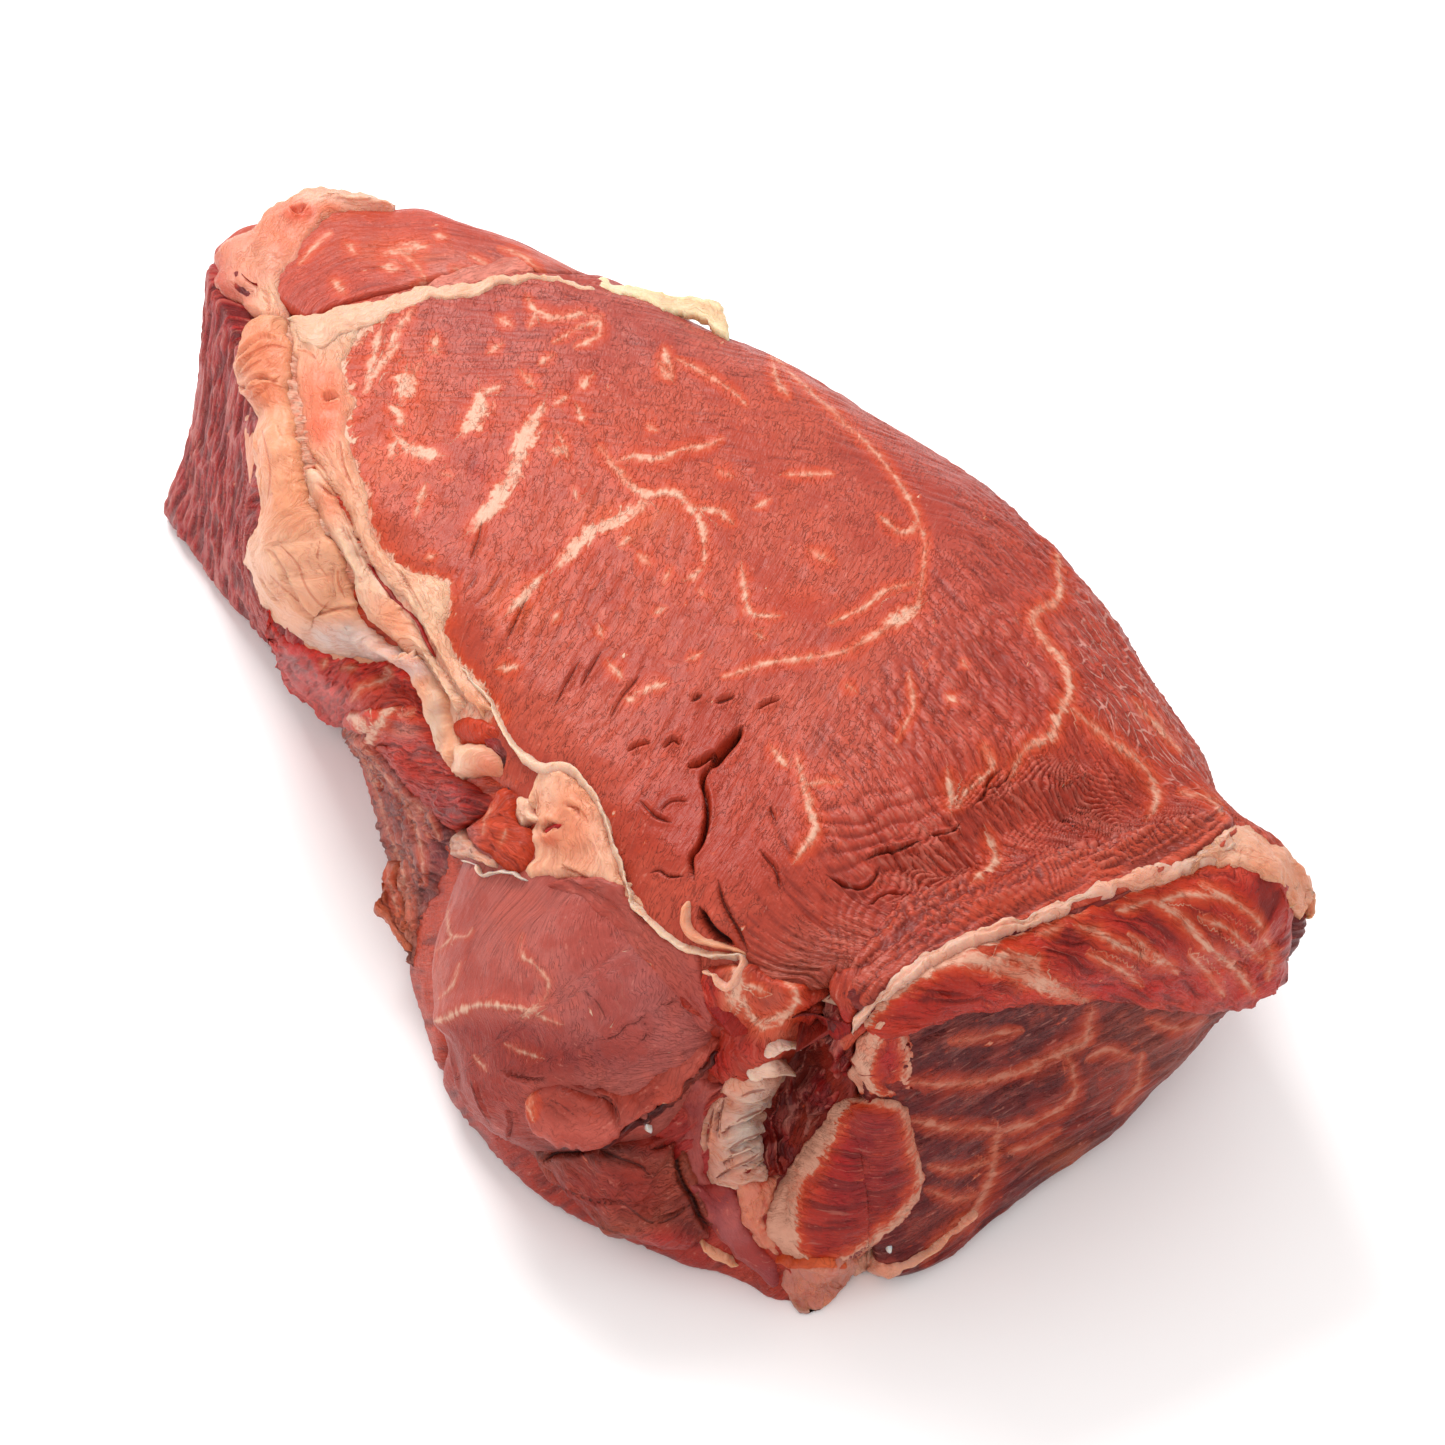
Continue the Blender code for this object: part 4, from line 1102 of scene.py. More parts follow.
frontLobe = dict(
    outward=(0.42, -0.74, 0.52), along=190, around=190, seed=21,
    rings=[(40, -62, 55, 6, 4), (50, -63, 55, 16, 10), (62, -63, 50, 24, 15), (76, -62, 45, 28, 17),
        (88, -61, 36, 27, 16), (99, -59, 27, 13, 8)],
    ridge=[415,1016, 435,1022, 460,1010, 484,1004, 512,1007, 533,1013, 563,1025], relief=lobeRelief,
    swell=0.9, ripple=0.15, grainTurn=50, fibre=0.3, stain=0.9, lean=(183, 108, 100),
    hiddenLean=(156, 76, 66), lit=0.85,
    # the dark tones at (560, 1056) and (500, 1032) are painted shade in the valley above the tongue, and
    # those at (600, 1150) are the tongue's painted shadow
    tones=[(520,940, 90,60, 188,112,105), (640,1000, 70,60, 174,104,101), (425,960, 16,70, 204,106,90),
        (480,1088, 50,50, 156,76,68), (560,1056, 70,15, 134,54,48), (500,1032, 50,9, 146,66,59),
        (690,1040, 40,40, 182,106,100), (480,1148, 30,16, 150,74,64), (540,1146, 24,12, 140,76,68),
        (600,1152, 60,9, 92,38,32), (600,1150, 50,8, 92,38,32)],
    veins=[(3.2, [413,1014, 432,1021, 445,1018, 460,1011, 478,1005, 500,1006, 524,1009, 531,1013]),
        (1.6, [444,880, 441,890, 446,904, 448,925, 452,936, 466,936, 472,930]),
        (1.2, [452,937, 440,948, 422,958]), (1.2, [460,963, 452,985, 440,998]),
        (1.6, [522,936, 522,955, 535,965, 545,976, 549,982, 545,998, 537,1008]),
        (3.6, [524,1016, 530,1012, 537,1006]), (1.6, [536,1015, 548,1020, 561,1024]),
        (2, [508,1045, 520,1051, 540,1058]), (1.2, [474,1056, 486,1070])],
    cuts=[(1.1, 0.5, 0.2, [600,1040, 616,1036, 626,1026, 640,1020, 644,1006]),
        (1.1, 0.4, 0.2, [650,1014, 644,1026, 646,1036, 636,1046]),
        (1.1, 0.4, 0.2, [655,1004, 668,1004, 678,998, 690,996]),
        (1.6, 0.9, 0.5, [500,1070, 520,1078, 545,1080]), (1.6, 0.7, 0.4, [470,1080, 478,1104, 490,1124]),
        (1.6, 0.8, 0.4, [506,1110, 510,1126, 508,1142]), (1.6, 0.6, 0.3, [584,990, 598,1004, 606,1020])])
chin = dict(
    outward=(0.6, -0.75, 0.2), along=110, around=110, seed=22,
    rings=[(74, -71, 17, 6, 6), (86, -67, 17, 12, 11), (100, -60, 17, 13, 12), (114, -52, 15, 8, 8)],
    swell=1.8, swellSize=11, ripple=0.4, crack=0.7, fibre=0.4, lean=(148, 90, 80),
    hiddenLean=(140, 66, 58), lit=0.75,
    # the dark tone at (590, 1150) is the tongue's painted shadow, and the one at (690, 1225) is painted shade
    # in the crack
    tones=[(590,1150, 50,10, 92,38,32), (650,1138, 24,14, 136,64,56), (670,1245, 30,12, 176,70,58),
        (690,1225, 16,24, 112,30,26), (600,1190, 60,24, 140,72,64)],
    cuts=[(3, 2.2, 0.8, [681,1128, 676,1150, 679,1170, 684,1184, 694,1200, 700,1216, 712,1232, 722,1246]),
        (2.4, 1.4, 0.6, [543,1162, 556,1153, 580,1151, 600,1147]),
        (2.2, 1.2, 0.5, [600,1150, 620,1158, 640,1166, 650,1176]),
        (2, 1.0, 0.4, [620,1200, 650,1222, 672,1218, 690,1205]),
        (2, 1.0, 0.4, [650,1150, 664,1146, 676,1140]), (2, 1.0, 0.4, [556,1185, 590,1200, 625,1205]),
        (2, 1.0, 0.4, [530,1165, 556,1196, 590,1222, 630,1238])])
leftFatCore = dict(
    outward=(0.1, -0.75, 0.65), along=180, around=60, seed=23,
    rings=[(-92, -43, 75, 5, 4), (-78, -46, 71, 10, 6), (-62, -53, 66, 11.5, 7), (-44, -57, 60, 12, 7),
        (-22, -57, 56, 12, 7), (2, -55, 59, 9, 6), (26, -55, 64, 5, 4)],
    swell=0.8, fat=(240, 160, 128))
lip = dict(
    outward=(1, 0, 0.35), along=200, around=90, seed=24,
    rings=[(119, -29, 62, 3, 3), (119, -24, 67, 7, 6), (119, -6, 69, 10, 10), (120, 16, 68, 11, 11),
        (121, 36, 66, 11, 12), (124, 53, 63, 10, 12), (126, 60, 61, 6, 8)],
    swell=0.8, ripple=0.35, grainTurn=20, crack=0.6, fibre=0.9, lean=(198, 98, 86),
    hiddenLean=(160, 72, 64), lit=0.8, paintedShade=0.3,
    tones=[(1190,930, 90,50, 150,50,50), (960,965, 60,30, 184,72,58), (1260,900, 40,50, 170,60,54)],
    veins=[(9, [970,950, 1000,946, 1030,955, 1058,971, 1075,985, 1092,998]),
        (4, [985,948, 990,965, 1000,985]), (3.6, [1060,928, 1085,936, 1110,944, 1135,955, 1158,966]),
        (3.6, [1152,905, 1170,918, 1187,932, 1202,946, 1217,959, 1234,975, 1250,992]),
        (3, [1090,905, 1120,915, 1140,918]), (2.4, [1180,880, 1215,900, 1240,915, 1268,920]),
        (2.4, [1125,925, 1150,935, 1165,950]), (2.4, [1010,925, 1040,930, 1060,945]),
        (2.4, [930,985, 960,975, 985,985])])
lumps = {"frontLobe": frontLobe, "chin": chin, "leftFatCore": leftFatCore, "lip": lip}
for name, lump in lumps.items():
    addLump(name, lump)
settleSeen()
print("core and lumps made")


def ropeRails(drawn):  # two edges either side of a drawn line
    stops = 40
    line = evenCurve(spots(drawn["line"]), stops)
    way = np.gradient(line, axis=0)
    aside = np.column_stack([-way[:, 1], way[:, 0]]) / np.linalg.norm(way, axis=1, keepdims=True)
    width = smoothCurve(drawn["halfWidths"], np.linspace(0, len(drawn["halfWidths"]) - 1, stops))
    return [line - aside * width[:, None], line, line + aside * width[:, None]]


def aboveFloor(points, gap):  # slides points towards the camera until they clear the floor
    toCamera = viewStand - points
    low = np.maximum(gap - points[..., 2], 0) / toCamera[..., 2]
    return points + toCamera * low[..., None]


def addDrawn(name, drawn):  # a slab between drawn rails, laid on the meat that lies behind them by then
    rails = [spots(rail) for rail in drawn["rails"]] if "rails" in drawn else ropeRails(drawn)
    span = max(np.linalg.norm(np.diff(rail, axis=0), axis=1).sum() for rail in rails)
    quarters = [[rail[k * (len(rail) - 1) // 4] for k in range(5)] for rail in (rails[0], rails[-1])]
    widths = [np.linalg.norm(one - other) for one, other in zip(*quarters)]
    step = drawn.get("step", 2.4)
    columns, rows = max(12, int(span / step)), max(8, int(max(widths) / step))
    lines = np.stack([evenCurve(rail, columns) for rail in rails])
    stops = np.linspace(0, len(rails) - 1, rows)
    if len(rails) > 2:
        place = smoothCurve(lines, stops).transpose(1, 0, 2)
    else:
        place = lines[0][:, None] + (lines[1] - lines[0])[:, None] * stops[None, :, None]
    wobble = drawn.get("wobble", 2.4)
    shifts = [layeredNoise(place, 14, 3, drawn["seed"] + k) for k in (50, 70)]
    place = place + wobble * np.stack(shifts, axis=-1)
    base = onSeen(place, drawn.get("soft", 2))
    normals = gridNormals(base)
    if (normals @ viewBack).mean() < 0:
        place, base = place[:, ::-1], base[:, ::-1]
        stops = stops[::-1]
        normals = gridNormals(base)
    lift = smoothCurve(drawn["lift"], stops)[None] * np.ones((columns, 1))
    flat = base.reshape(-1, 3)
    u, v = travelled(base)
    edges = cushion(base, drawn.get("roll", (1.6, 1.6, 2.5, 2.5)))
    relief = drawn.get("swell", 0.5) * layeredNoise(flat, drawn.get("swellSize", 8), 3, drawn["seed"] + 20)
    texture = drawn.get("ripple", 0.0) * fibreRelief(
        u, v, drawn.get("grainTurn", 0), 10, drawn.get("rippleSize", 1.8), drawn["seed"] + 30)
    relief = relief.reshape(u.shape)
    if "relief" in drawn:
        relief, texture = drawn["relief"](place.reshape(-1, 2), base, u, v, np.ones(u.size))
    relief = relief + texture
    relief += cutRelief(place.reshape(-1, 2), drawn.get("cuts", ())).reshape(u.shape)
    grid = base + normals * (edges * (lift + relief) - drawn.get("sink", 1.2) * (1 - edges))[..., None]
    grid = aboveFloor(grid, core["floorGap"] + 0.2)
    grain = grainPlaces(u, v, drawn.get("grainTurn", 0), drawn["seed"])
    looks = paint(grid.reshape(-1, 3), gridNormals(grid).reshape(-1, 3), grain, drawn)
    shadeRelief(looks, texture)
    if drawn.get("carries"):
        noteSeen(grid)
    addSlab(name, grid, normals, looks, drawn.get("depth", 2.5) + np.maximum(edges * lift, 0),
            fatMaterial if "fat" in drawn else fleshMaterial, min(6, max(2, rows // 3)))


drawnPieces = dict(
    shelfMeat=dict(
        rails=[
            [266,602, 284,630, 302,642, 332,652, 364,657, 394,661, 414,674, 424,692, 430,714],
            [276,628, 288,654, 300,672, 324,682, 350,690, 374,692, 402,694, 416,704, 430,722],
            [284,652, 290,676, 298,698, 316,711, 338,726, 356,722, 378,722, 400,716, 428,732]],
        lift=[0.5, 2.4, 1.0], swell=0.7, swellSize=9, ripple=0.35, rippleSize=1.6, grainTurn=75, seed=71,
        roll=(2, 2, 3, 3), lean=(216, 78, 56), lit=0.85, crack=0.6, carries=True, wobble=3.0,
        tones=[(290,650, 12,30, 196,70,54), (380,700, 30,16, 196,84,68)],
        veins=[(1.4, [342,669, 355,667]), (1.4, [386,668, 392,673]), (1.4, [360,688, 378,682, 392,676]),
            (1.4, [352,700, 358,690, 362,684]), (1.2, [322,668, 326,660])]),
    tubeMeat=dict(
        rails=[
            [340,716, 354,732, 368,748, 384,762, 398,778, 414,797, 434,816, 454,832],
            [372,708, 386,726, 400,742, 416,756, 430,772, 446,788, 462,806, 474,824],
            [428,704, 434,722, 442,742, 452,762, 464,778, 478,788, 492,796, 498,808]],
        lift=[0.5, 3.6, 1.0], swell=0.7, swellSize=9, ripple=0.4, rippleSize=1.6, grainTurn=80, seed=36,
        roll=(3, 3, 4, 5), lean=(200, 80, 60), lit=0.8, crack=0.7, fibre=0.4, carries=True,
        tones=[(402,731, 14,6, 196,126,110), (400,758, 26,16, 204,80,60), (450,800, 34,16, 168,62,54),
            (480,803, 10,14, 118,60,46)],
        veins=[(5, [346,714, 358,722, 368,738, 372,750]), (5, [397,700, 384,716, 374,734]),
            (2, [424,706, 414,712, 400,716])]),
    membrane=dict(
        rails=[
            [338,728, 352,752, 364,774, 372,795, 378,825, 384,852, 391,882, 399,915, 405,945, 412,970],
            [350,726, 368,756, 386,784, 402,808, 414,834, 420,862, 418,890, 414,916, 410,942, 413,966],
            [364,730, 386,764, 408,790, 432,815, 454,834, 454,856, 442,880, 428,906, 416,934, 414,962]],
        lift=[0.3, 1.2, 0.6], swell=0.8, ripple=0.9, rippleSize=2.4, seed=72, roll=(1.5, 2, 3, 2),
        lean=(156, 106, 100), lit=0.8, fibre=1.0, wobble=3.0, veinStrength=0.7, carries=True,
        tones=[(385,792, 14,18, 124,84,90), (390,832, 9,14, 134,44,40), (404,826, 8,10, 120,60,60),
            (436,848, 12,24, 118,76,84), (400,910, 12,40, 190,124,100), (420,885, 8,30, 112,66,66)],
        veins=[(2.2, [345,730, 362,758, 376,790, 388,830, 402,870, 412,925]),
            (1.8, [356,734, 384,775, 404,802, 420,842, 424,884]), (1.6, [398,793, 424,812, 440,838]),
            (1.6, [384,850, 398,885, 404,925])]),
    raggedFlap=dict(
        rails=[
            [387,861, 381,878, 383,893, 375,903, 383,917, 393,933, 405,951],
            [394,862, 398,880, 400,900, 401,912, 404,925, 407,938, 411,952]],
        lift=[0.3, 0.6], swell=0.7, swellSize=4, ripple=0.4, rippleSize=1.5, seed=73,
        roll=(0.8, 0.8, 1, 1), depth=1.5, lean=(194, 112, 90), lit=0.85, crack=0.6, fibre=0.6, wobble=3.2,
        step=1.7,
        veins=[(1.2, [386,866, 392,890, 398,915])]),
    leanBit=dict(
        rails=[
            [500,786, 490,802, 480,820, 466,832, 482,850, 496,864, 508,876],
            [508,788, 506,806, 502,822, 498,836, 506,850, 512,862, 516,874],
            [514,792, 520,806, 522,826, 538,834, 538,846, 532,860, 522,876]],
        lift=[0.8, 2.0, 1.2], swell=0.6, swellSize=6, ripple=0.2, seed=74, lean=(188, 88, 74), lit=0.75,
        crack=0.6, fibre=0.4, carries=True,
        veins=[(1.6, [494,806, 486,816, 483,832]), (1.2, [506,830, 500,846])]),
    leftFat=dict(
        rails=[
            [262,314, 243,326, 236,342, 233,362, 237,382, 248,400, 257,420, 255,445, 257,470, 260,500,
             257,522, 247,545, 246,562, 254,588, 268,612, 285,632, 302,645, 330,655, 362,660, 392,663,
             412,675, 422,692, 428,712, 435,732, 444,752, 455,779],
            [272,318, 262,338, 262,360, 266,385, 276,410, 279,440, 283,470, 288,505, 290,540, 298,572,
             314,598, 334,618, 356,634, 384,646, 410,656, 428,672, 438,692, 444,716, 450,738, 462,764],
            [286,320, 291,342, 293,362, 291,385, 293,410, 299,438, 304,466, 311,496, 321,520, 336,545,
             350,570, 355,596, 367,622, 387,640, 409,652, 429,668, 442,690, 452,712, 460,735, 471,756]],
        lift=[0.6, 3.6, 1.4], swell=0.8, swellSize=13, ripple=0.12, rippleSize=4, seed=31,
        roll=(2.6, 1.6, 3, 4), fat=(247, 178, 144), crack=0.8, carries=True,
        tones=[(262,356, 24,22, 240,140,108), (262,396, 20,10, 238,132,98), (340,638, 30,12, 214,200,196),
            (385,655, 30,8, 218,196,190), (275,575, 34,44, 252,196,166), (414,668, 16,8, 214,188,184),
            (434,720, 7,34, 238,208,186), (296,480, 10,60, 244,166,128), (275,510, 12,16, 240,162,126)],
        cuts=[(2.4, 0.8, 0.5, [236,384, 250,388, 266,384, 284,388]),
            (2.2, 0.6, 0.4, [236,362, 254,352, 270,346, 288,348]),
            (2.2, 0.7, 0.4, [240,374, 252,366, 262,360]), (2.2, 0.5, 0.3, [248,400, 262,392, 280,376]),
            (2, 0.7, 0.3, [280,545, 298,565, 305,585, 320,604, 338,611, 354,607, 364,618]),
            (1.8, 0.5, 0.3, [270,575, 285,590, 300,602]), (1.6, 0.4, 0.2, [262,430, 270,470, 268,500]),
            (1.8, 0.6, 0.3, [340,560, 338,580, 346,600]), (1.6, 0.4, 0.2, [320,540, 318,562, 330,580])]),
    midFold=dict(
        rails=[
            [303,466, 311,496, 321,520, 336,545, 351,570, 356,596, 368,622, 388,640, 410,652, 430,668,
             446,694, 458,716],
            [313,468, 324,494, 334,516, 347,544, 361,568, 370,590, 384,610, 400,628, 418,645, 434,664,
             450,688, 464,710],
            [323,472, 337,492, 347,512, 359,542, 371,566, 385,584, 401,602, 413,618, 425,638, 439,660,
             455,684, 469,706]],
        lift=[0.4, 2.2, 0.8], swell=0.4, swellSize=7, ripple=0.2, rippleSize=2.6, seed=75,
        roll=(1.4, 1.4, 3, 3), fat=(254, 208, 180), crack=1.0, carries=True,
        tones=[(395,620, 18,22, 242,150,112), (330,500, 14,20, 240,140,106)],
        cuts=[(2, 0.8, 0.3, [322,486, 332,496, 342,498]), (2, 0.7, 0.3, [345,525, 356,550, 366,572])]),
    innerFat=dict(
        rails=[
            [288,316, 296,356, 295,385, 298,410, 304,438, 312,462, 328,486, 347,512, 359,542, 371,566,
             387,584, 405,602, 417,620, 431,642, 443,662, 457,684, 471,706, 483,724],
            [312,316, 321,350, 322,385, 326,410, 330,438, 338,465, 352,492, 362,520, 374,548, 390,572,
             412,590, 430,612, 438,640, 451,664, 469,688, 488,712],
            [350,308, 364,330, 352,350, 346,368, 352,390, 358,402, 350,425, 352,448, 360,470, 370,495,
             372,520, 380,542, 396,562, 424,574, 452,584, 452,610, 448,634, 458,658, 480,680, 494,702,
             508,726]],
        lift=[0.6, 1.6, 0.3], swellSize=9, ripple=0.16, rippleSize=3, seed=32, roll=(1.4, 2.5, 3, 4),
        fat=(250, 190, 160), crack=1.0, carries=True,
        tones=[(322,398, 22,34, 246,122,94), (318,430, 14,12, 236,100,78), (332,350, 20,14, 250,196,166),
            (330,330, 24,12, 252,206,178), (430,612, 18,28, 250,204,172), (345,470, 10,26, 246,170,138),
            (470,712, 16,16, 246,160,124)],
        cuts=[(3.4, 1.6, 0.6, [324,404, 331,402, 339,399]), (2, 0.8, 0.3, [298,350, 308,352, 316,359]),
            (2, 0.8, 0.3, [320,482, 330,492, 341,496]), (2, 0.7, 0.3, [310,455, 324,470, 332,482]),
            (1.6, 0.5, 0.2, [340,440, 344,465, 354,490]), (1.6, 0.5, 0.2, [400,570, 412,590, 424,612]),
            (1.8, 0.6, 0.3, [440,668, 452,690, 462,712]), (1.8, 0.6, 0.3, [452,680, 466,700, 478,716])]),
    redCrack=dict(
        line=[366,564, 378,580, 390,596, 402,606, 412,616, 422,636, 434,657],
        halfWidths=[0.3, 1.0, 2.2, 0.9, 1.2, 1.5, 0.3], lift=[0.1, 0.1, 0.1], swell=0.2, seed=76, sink=0.5,
        roll=(0.6, 0.6, 1, 1), lean=(170, 66, 48), crack=0.8, fibre=0.3, step=1.6, wobble=1.2,
        tones=[(392,596, 5,5, 130,30,22)]),
    farCornerFat=dict(
        rails=[
            [236,304, 222,296, 214,284, 211,268, 214,254, 222,244, 234,236, 254,221, 278,202, 300,189,
             328,187, 358,192, 394,203],
            [268,318, 258,300, 248,286, 244,268, 250,254, 262,240, 282,224, 298,209, 320,200, 342,197,
             368,201, 394,207],
            [293,324, 286,304, 281,288, 286,272, 298,260, 303,246, 314,234, 326,222, 342,214, 366,210,
             394,211]],
        lift=[0.4, 1.8, 0.2], swell=0.8, ripple=0.2, rippleSize=2.6, seed=33, roll=(2, 3, 3, 4),
        fat=(234, 158, 136), crack=1.0, carries=True,
        tones=[(340,197, 40,7, 250,206,182), (300,213, 12,9, 232,96,70), (330,206, 10,5, 236,112,80),
            (285,232, 20,14, 242,142,116), (270,300, 12,16, 250,200,170), (258,256, 14,12, 240,168,142),
            (216,275, 8,20, 206,110,100), (228,296, 14,10, 190,90,82)],
        cuts=[(3, 1.4, 0.5, [291,210, 298,217, 308,209]), (2, 0.8, 0.3, [262,296, 268,302, 270,312])]),
    cornerPit=dict(
        rails=[
            [230,270, 231,282, 236,294, 246,301],
            [242,268, 250,278, 254,287, 256,298]],
        lift=[0.1, 0.1], swell=0.2, swellSize=4, seed=34, wobble=1.0, roll=(0.8, 0.8, 1, 1), step=1.6,
        lean=(160, 40, 40), crack=0.6, fibre=0.3, sink=0.4,
        tones=[(244,289, 7,7, 100,0,6), (241,276, 6,4, 120,10,14), (234,286, 3,6, 206,90,80)]),
    farSeamFat=dict(
        rails=[
            [284,314, 312,316, 335,308, 358,302, 388,297, 410,291, 426,286, 446,287, 470,282, 500,276,
             540,275, 602,287],
            [300,340, 322,348, 346,338, 374,328, 394,314, 413,306, 430,301, 450,303, 476,296, 504,287,
             542,283, 602,292]],
        lift=[0.8, 0.5], swell=0.4, swellSize=6, ripple=0.12, seed=35, roll=(1.2, 1.8, 3, 4),
        fat=(248, 196, 168), step=2.0, wobble=3.0),
    farMist=dict(
        rails=[
            [420,287, 440,274, 458,267, 474,262, 494,259, 520,259],
            [434,292, 456,288, 474,284, 494,280, 512,276, 536,272]],
        lift=[0.3, 0.3], swell=0.2, seed=77, roll=(1.5, 1.5, 2, 2), lean=(226, 142, 126), step=2.0,
        sink=0.4, wobble=3.0, fibre=0.8),
    redBit=dict(
        rails=[
            [450,714, 454,728, 460,744],
            [474,716, 478,730, 480,746],
            [496,722, 500,734, 500,748]],
        lift=[0.2, 0.9, 0.3], swell=0.6, swellSize=5, seed=78, lean=(204, 88, 70), step=1.8, crack=0.6,
        fibre=0.3, carries=True),
    knob=dict(
        rails=[
            [450,746, 452,764, 458,781],
            [476,742, 481,759, 484,777],
            [497,748, 504,764, 505,781]],
        lift=[1.0, 4.2, 1.6], swell=0.4, swellSize=6, ripple=0.2, rippleSize=2, seed=38,
        roll=(2.5, 2.5, 2.5, 3), fat=(248, 186, 158), step=1.8, carries=True,
        tones=[(462,758, 9,14, 252,210,182), (490,770, 13,12, 226,126,100)]),
    # a near-black sheet in the hollow beside the knob: painted shade
    hollowShade=dict(
        rails=[
            [476,738, 491,748, 500,760, 503,777, 508,793],
            [486,732, 504,742, 513,756, 517,773, 516,796]],
        lift=[-0.2, -0.2], swell=0.3, seed=79, roll=(0.6, 0.6, 1, 1), lean=(112, 14, 12), step=1.6,
        sink=0.8,
        tones=[(506,770, 8,20, 40,2,4), (486,742, 8,5, 170,24,18)]),
    fatPlate=dict(
        rails=[
            [533,776, 531,800, 536,818, 528,836, 531,856, 523,870, 526,880],
            [548,770, 552,796, 556,820, 552,842, 552,862, 548,879],
            [562,771, 580,796, 592,822, 600,848, 606,868, 604,888],
            [582,784, 600,806, 611,836, 622,872, 640,898, 654,914]],
        lift=[0.6, 1.8, 2.2, 0.8], swell=1.0, ripple=0.25, rippleSize=3, seed=39, roll=(1.8, 1.6, 2, 3),
        fat=(252, 182, 152), lit=0.95, crack=1.0, carries=True,
        tones=[(600,860, 12,26, 250,190,162), (545,790, 12,12, 250,194,166), (570,830, 14,22, 240,148,116),
            (540,862, 12,14, 250,184,154), (575,800, 14,12, 244,160,126), (550,840, 8,6, 232,120,92)],
        cuts=[(4.5, 2.6, 0.8, [545,831, 553,828, 562,825]), (2, 0.8, 0.3, [568,806, 580,810, 588,822]),
            (1.8, 0.6, 0.3, [562,868, 580,874, 594,882]), (1.6, 0.5, 0.2, [534,824, 538,806, 536,790])]),
    redHole=dict(
        line=[544,831, 553,829, 563,825], halfWidths=[2, 5, 1], lift=[0.1, 0.1, 0.1], swell=0.1, seed=80,
        roll=(0.5, 0.5, 0.8, 0.8), lean=(200, 40, 30), step=1.4, sink=0.3, wobble=1.0,
        tones=[(555,829, 4,3, 130,8,8)]),
    fatBit=dict(
        rails=[
            [517,797, 517,812, 520,825],
            [531,797, 534,810, 541,824]],
        lift=[1.0, 1.0], swell=0.4, swellSize=4, seed=81, roll=(1, 1, 1.5, 1.5), fat=(246, 190, 164),
        lit=0.85, step=1.6),
    foldEdge=dict(
        eyeMuscle,
        rails=[
            [846,980, 856,956, 874,932, 905,900, 955,878, 1010,864, 1060,850, 1110,838, 1160,826, 1204,812,
             1222,806],
            [866,1014, 880,1002, 904,986, 936,966, 978,948, 1024,932, 1070,914, 1118,896, 1168,878,
             1212,858, 1240,838]],
        lift=[0.5, 1.8], seed=96, roll=(1.0, 0.8, 2, 2), depth=3.0, soft=4, step=2.0, wobble=1.0,
        fatAreas=[], fatShare=0, cuts=[],
        tones=[(1000,900, 90,40, 206,92,76), (1150,860, 80,40, 212,98,80), (870,970, 40,30, 184,88,76)]),
    flapStrip=dict(
        rails=[
            [854,1026, 880,1000, 912,976, 950,953, 990,937, 1036,922, 1080,906, 1124,890, 1166,874,
             1206,858, 1250,842],
            [876,1034, 908,1010, 948,988, 996,970, 1046,956, 1094,946, 1140,938, 1186,930, 1236,918,
             1288,892],
            [886,1042, 930,1024, 968,1012, 1010,1005, 1055,1003, 1100,1003, 1145,1006, 1190,1010,
             1240,1006, 1286,984]],
        lift=[0.8, 4.4, 2.0], swell=0.6, swellSize=10, ripple=0.35, grainTurn=155, seed=41,
        roll=(3, 3, 4, 4), depth=4.0, lean=(200, 84, 74), lit=0.9, carries=True, veinStrength=0.95,
        paintedShade=0.3,
        fatAreas=[[850,1018, 888,982, 930,948, 978,924, 1026,909, 1072,892, 1118,877, 1162,860, 1206,844,
            1262,830, 1256,850, 1206,864, 1166,880, 1128,894, 1090,908, 1048,922, 1000,940, 960,958,
            920,982, 886,1006, 864,1030]],
        tones=[(1170,932, 60,34, 166,62,58), (930,1000, 50,20, 170,36,30), (1000,950, 60,12, 206,80,60),
            (1100,990, 80,10, 190,56,40), (1265,920, 24,50, 158,44,40), (1080,950, 50,22, 156,56,52),
            (1250,985, 40,14, 196,56,44)],
        veins=[(7, [935,966, 960,960, 986,962, 1016,974, 1051,989, 1086,1002]),
            (6, [1016,974, 1028,962, 1012,956, 994,958]), (5, [1051,989, 1036,972, 1040,958]),
            (3.4, [1080,926, 1100,934, 1121,946, 1157,961, 1172,966]), (2.4, [1040,934, 1060,926]),
            (3.4, [1152,900, 1177,916, 1202,941, 1232,966, 1252,991]),
            (2.6, [1157,903, 1182,895, 1202,895, 1222,898]),
            (2.2, [1202,883, 1222,895, 1247,911, 1267,931]), (1.8, [1190,955, 1210,975, 1222,994]),
            (1.8, [1262,935, 1272,955, 1268,978]), (2.0, [1090,955, 1115,966, 1140,985]),
            (1.8, [1200,918, 1230,930, 1262,960]), (1.6, [1130,935, 1150,950, 1176,972]),
            (2.2, [1120,910, 1135,906, 1150,900])]),
    flapSeam=dict(
        rails=[
            [850,1027, 862,1007, 880,989, 905,969, 935,950, 972,935, 1010,922, 1040,912, 1072,897,
             1100,886, 1130,875, 1165,865, 1196,851, 1222,833],
            [860,1028, 876,1010, 896,996, 920,978, 948,960, 984,945, 1016,933, 1046,924, 1078,910,
             1108,900, 1138,890, 1174,880, 1208,868, 1240,852]],
        lift=[2.1, 1.8], swell=0.7, swellSize=5, ripple=0.3, rippleSize=1.6, seed=40,
        roll=(1.0, 1.6, 2, 2), fat=(244, 194, 174), step=1.8, wobble=3.2, crack=1.0,
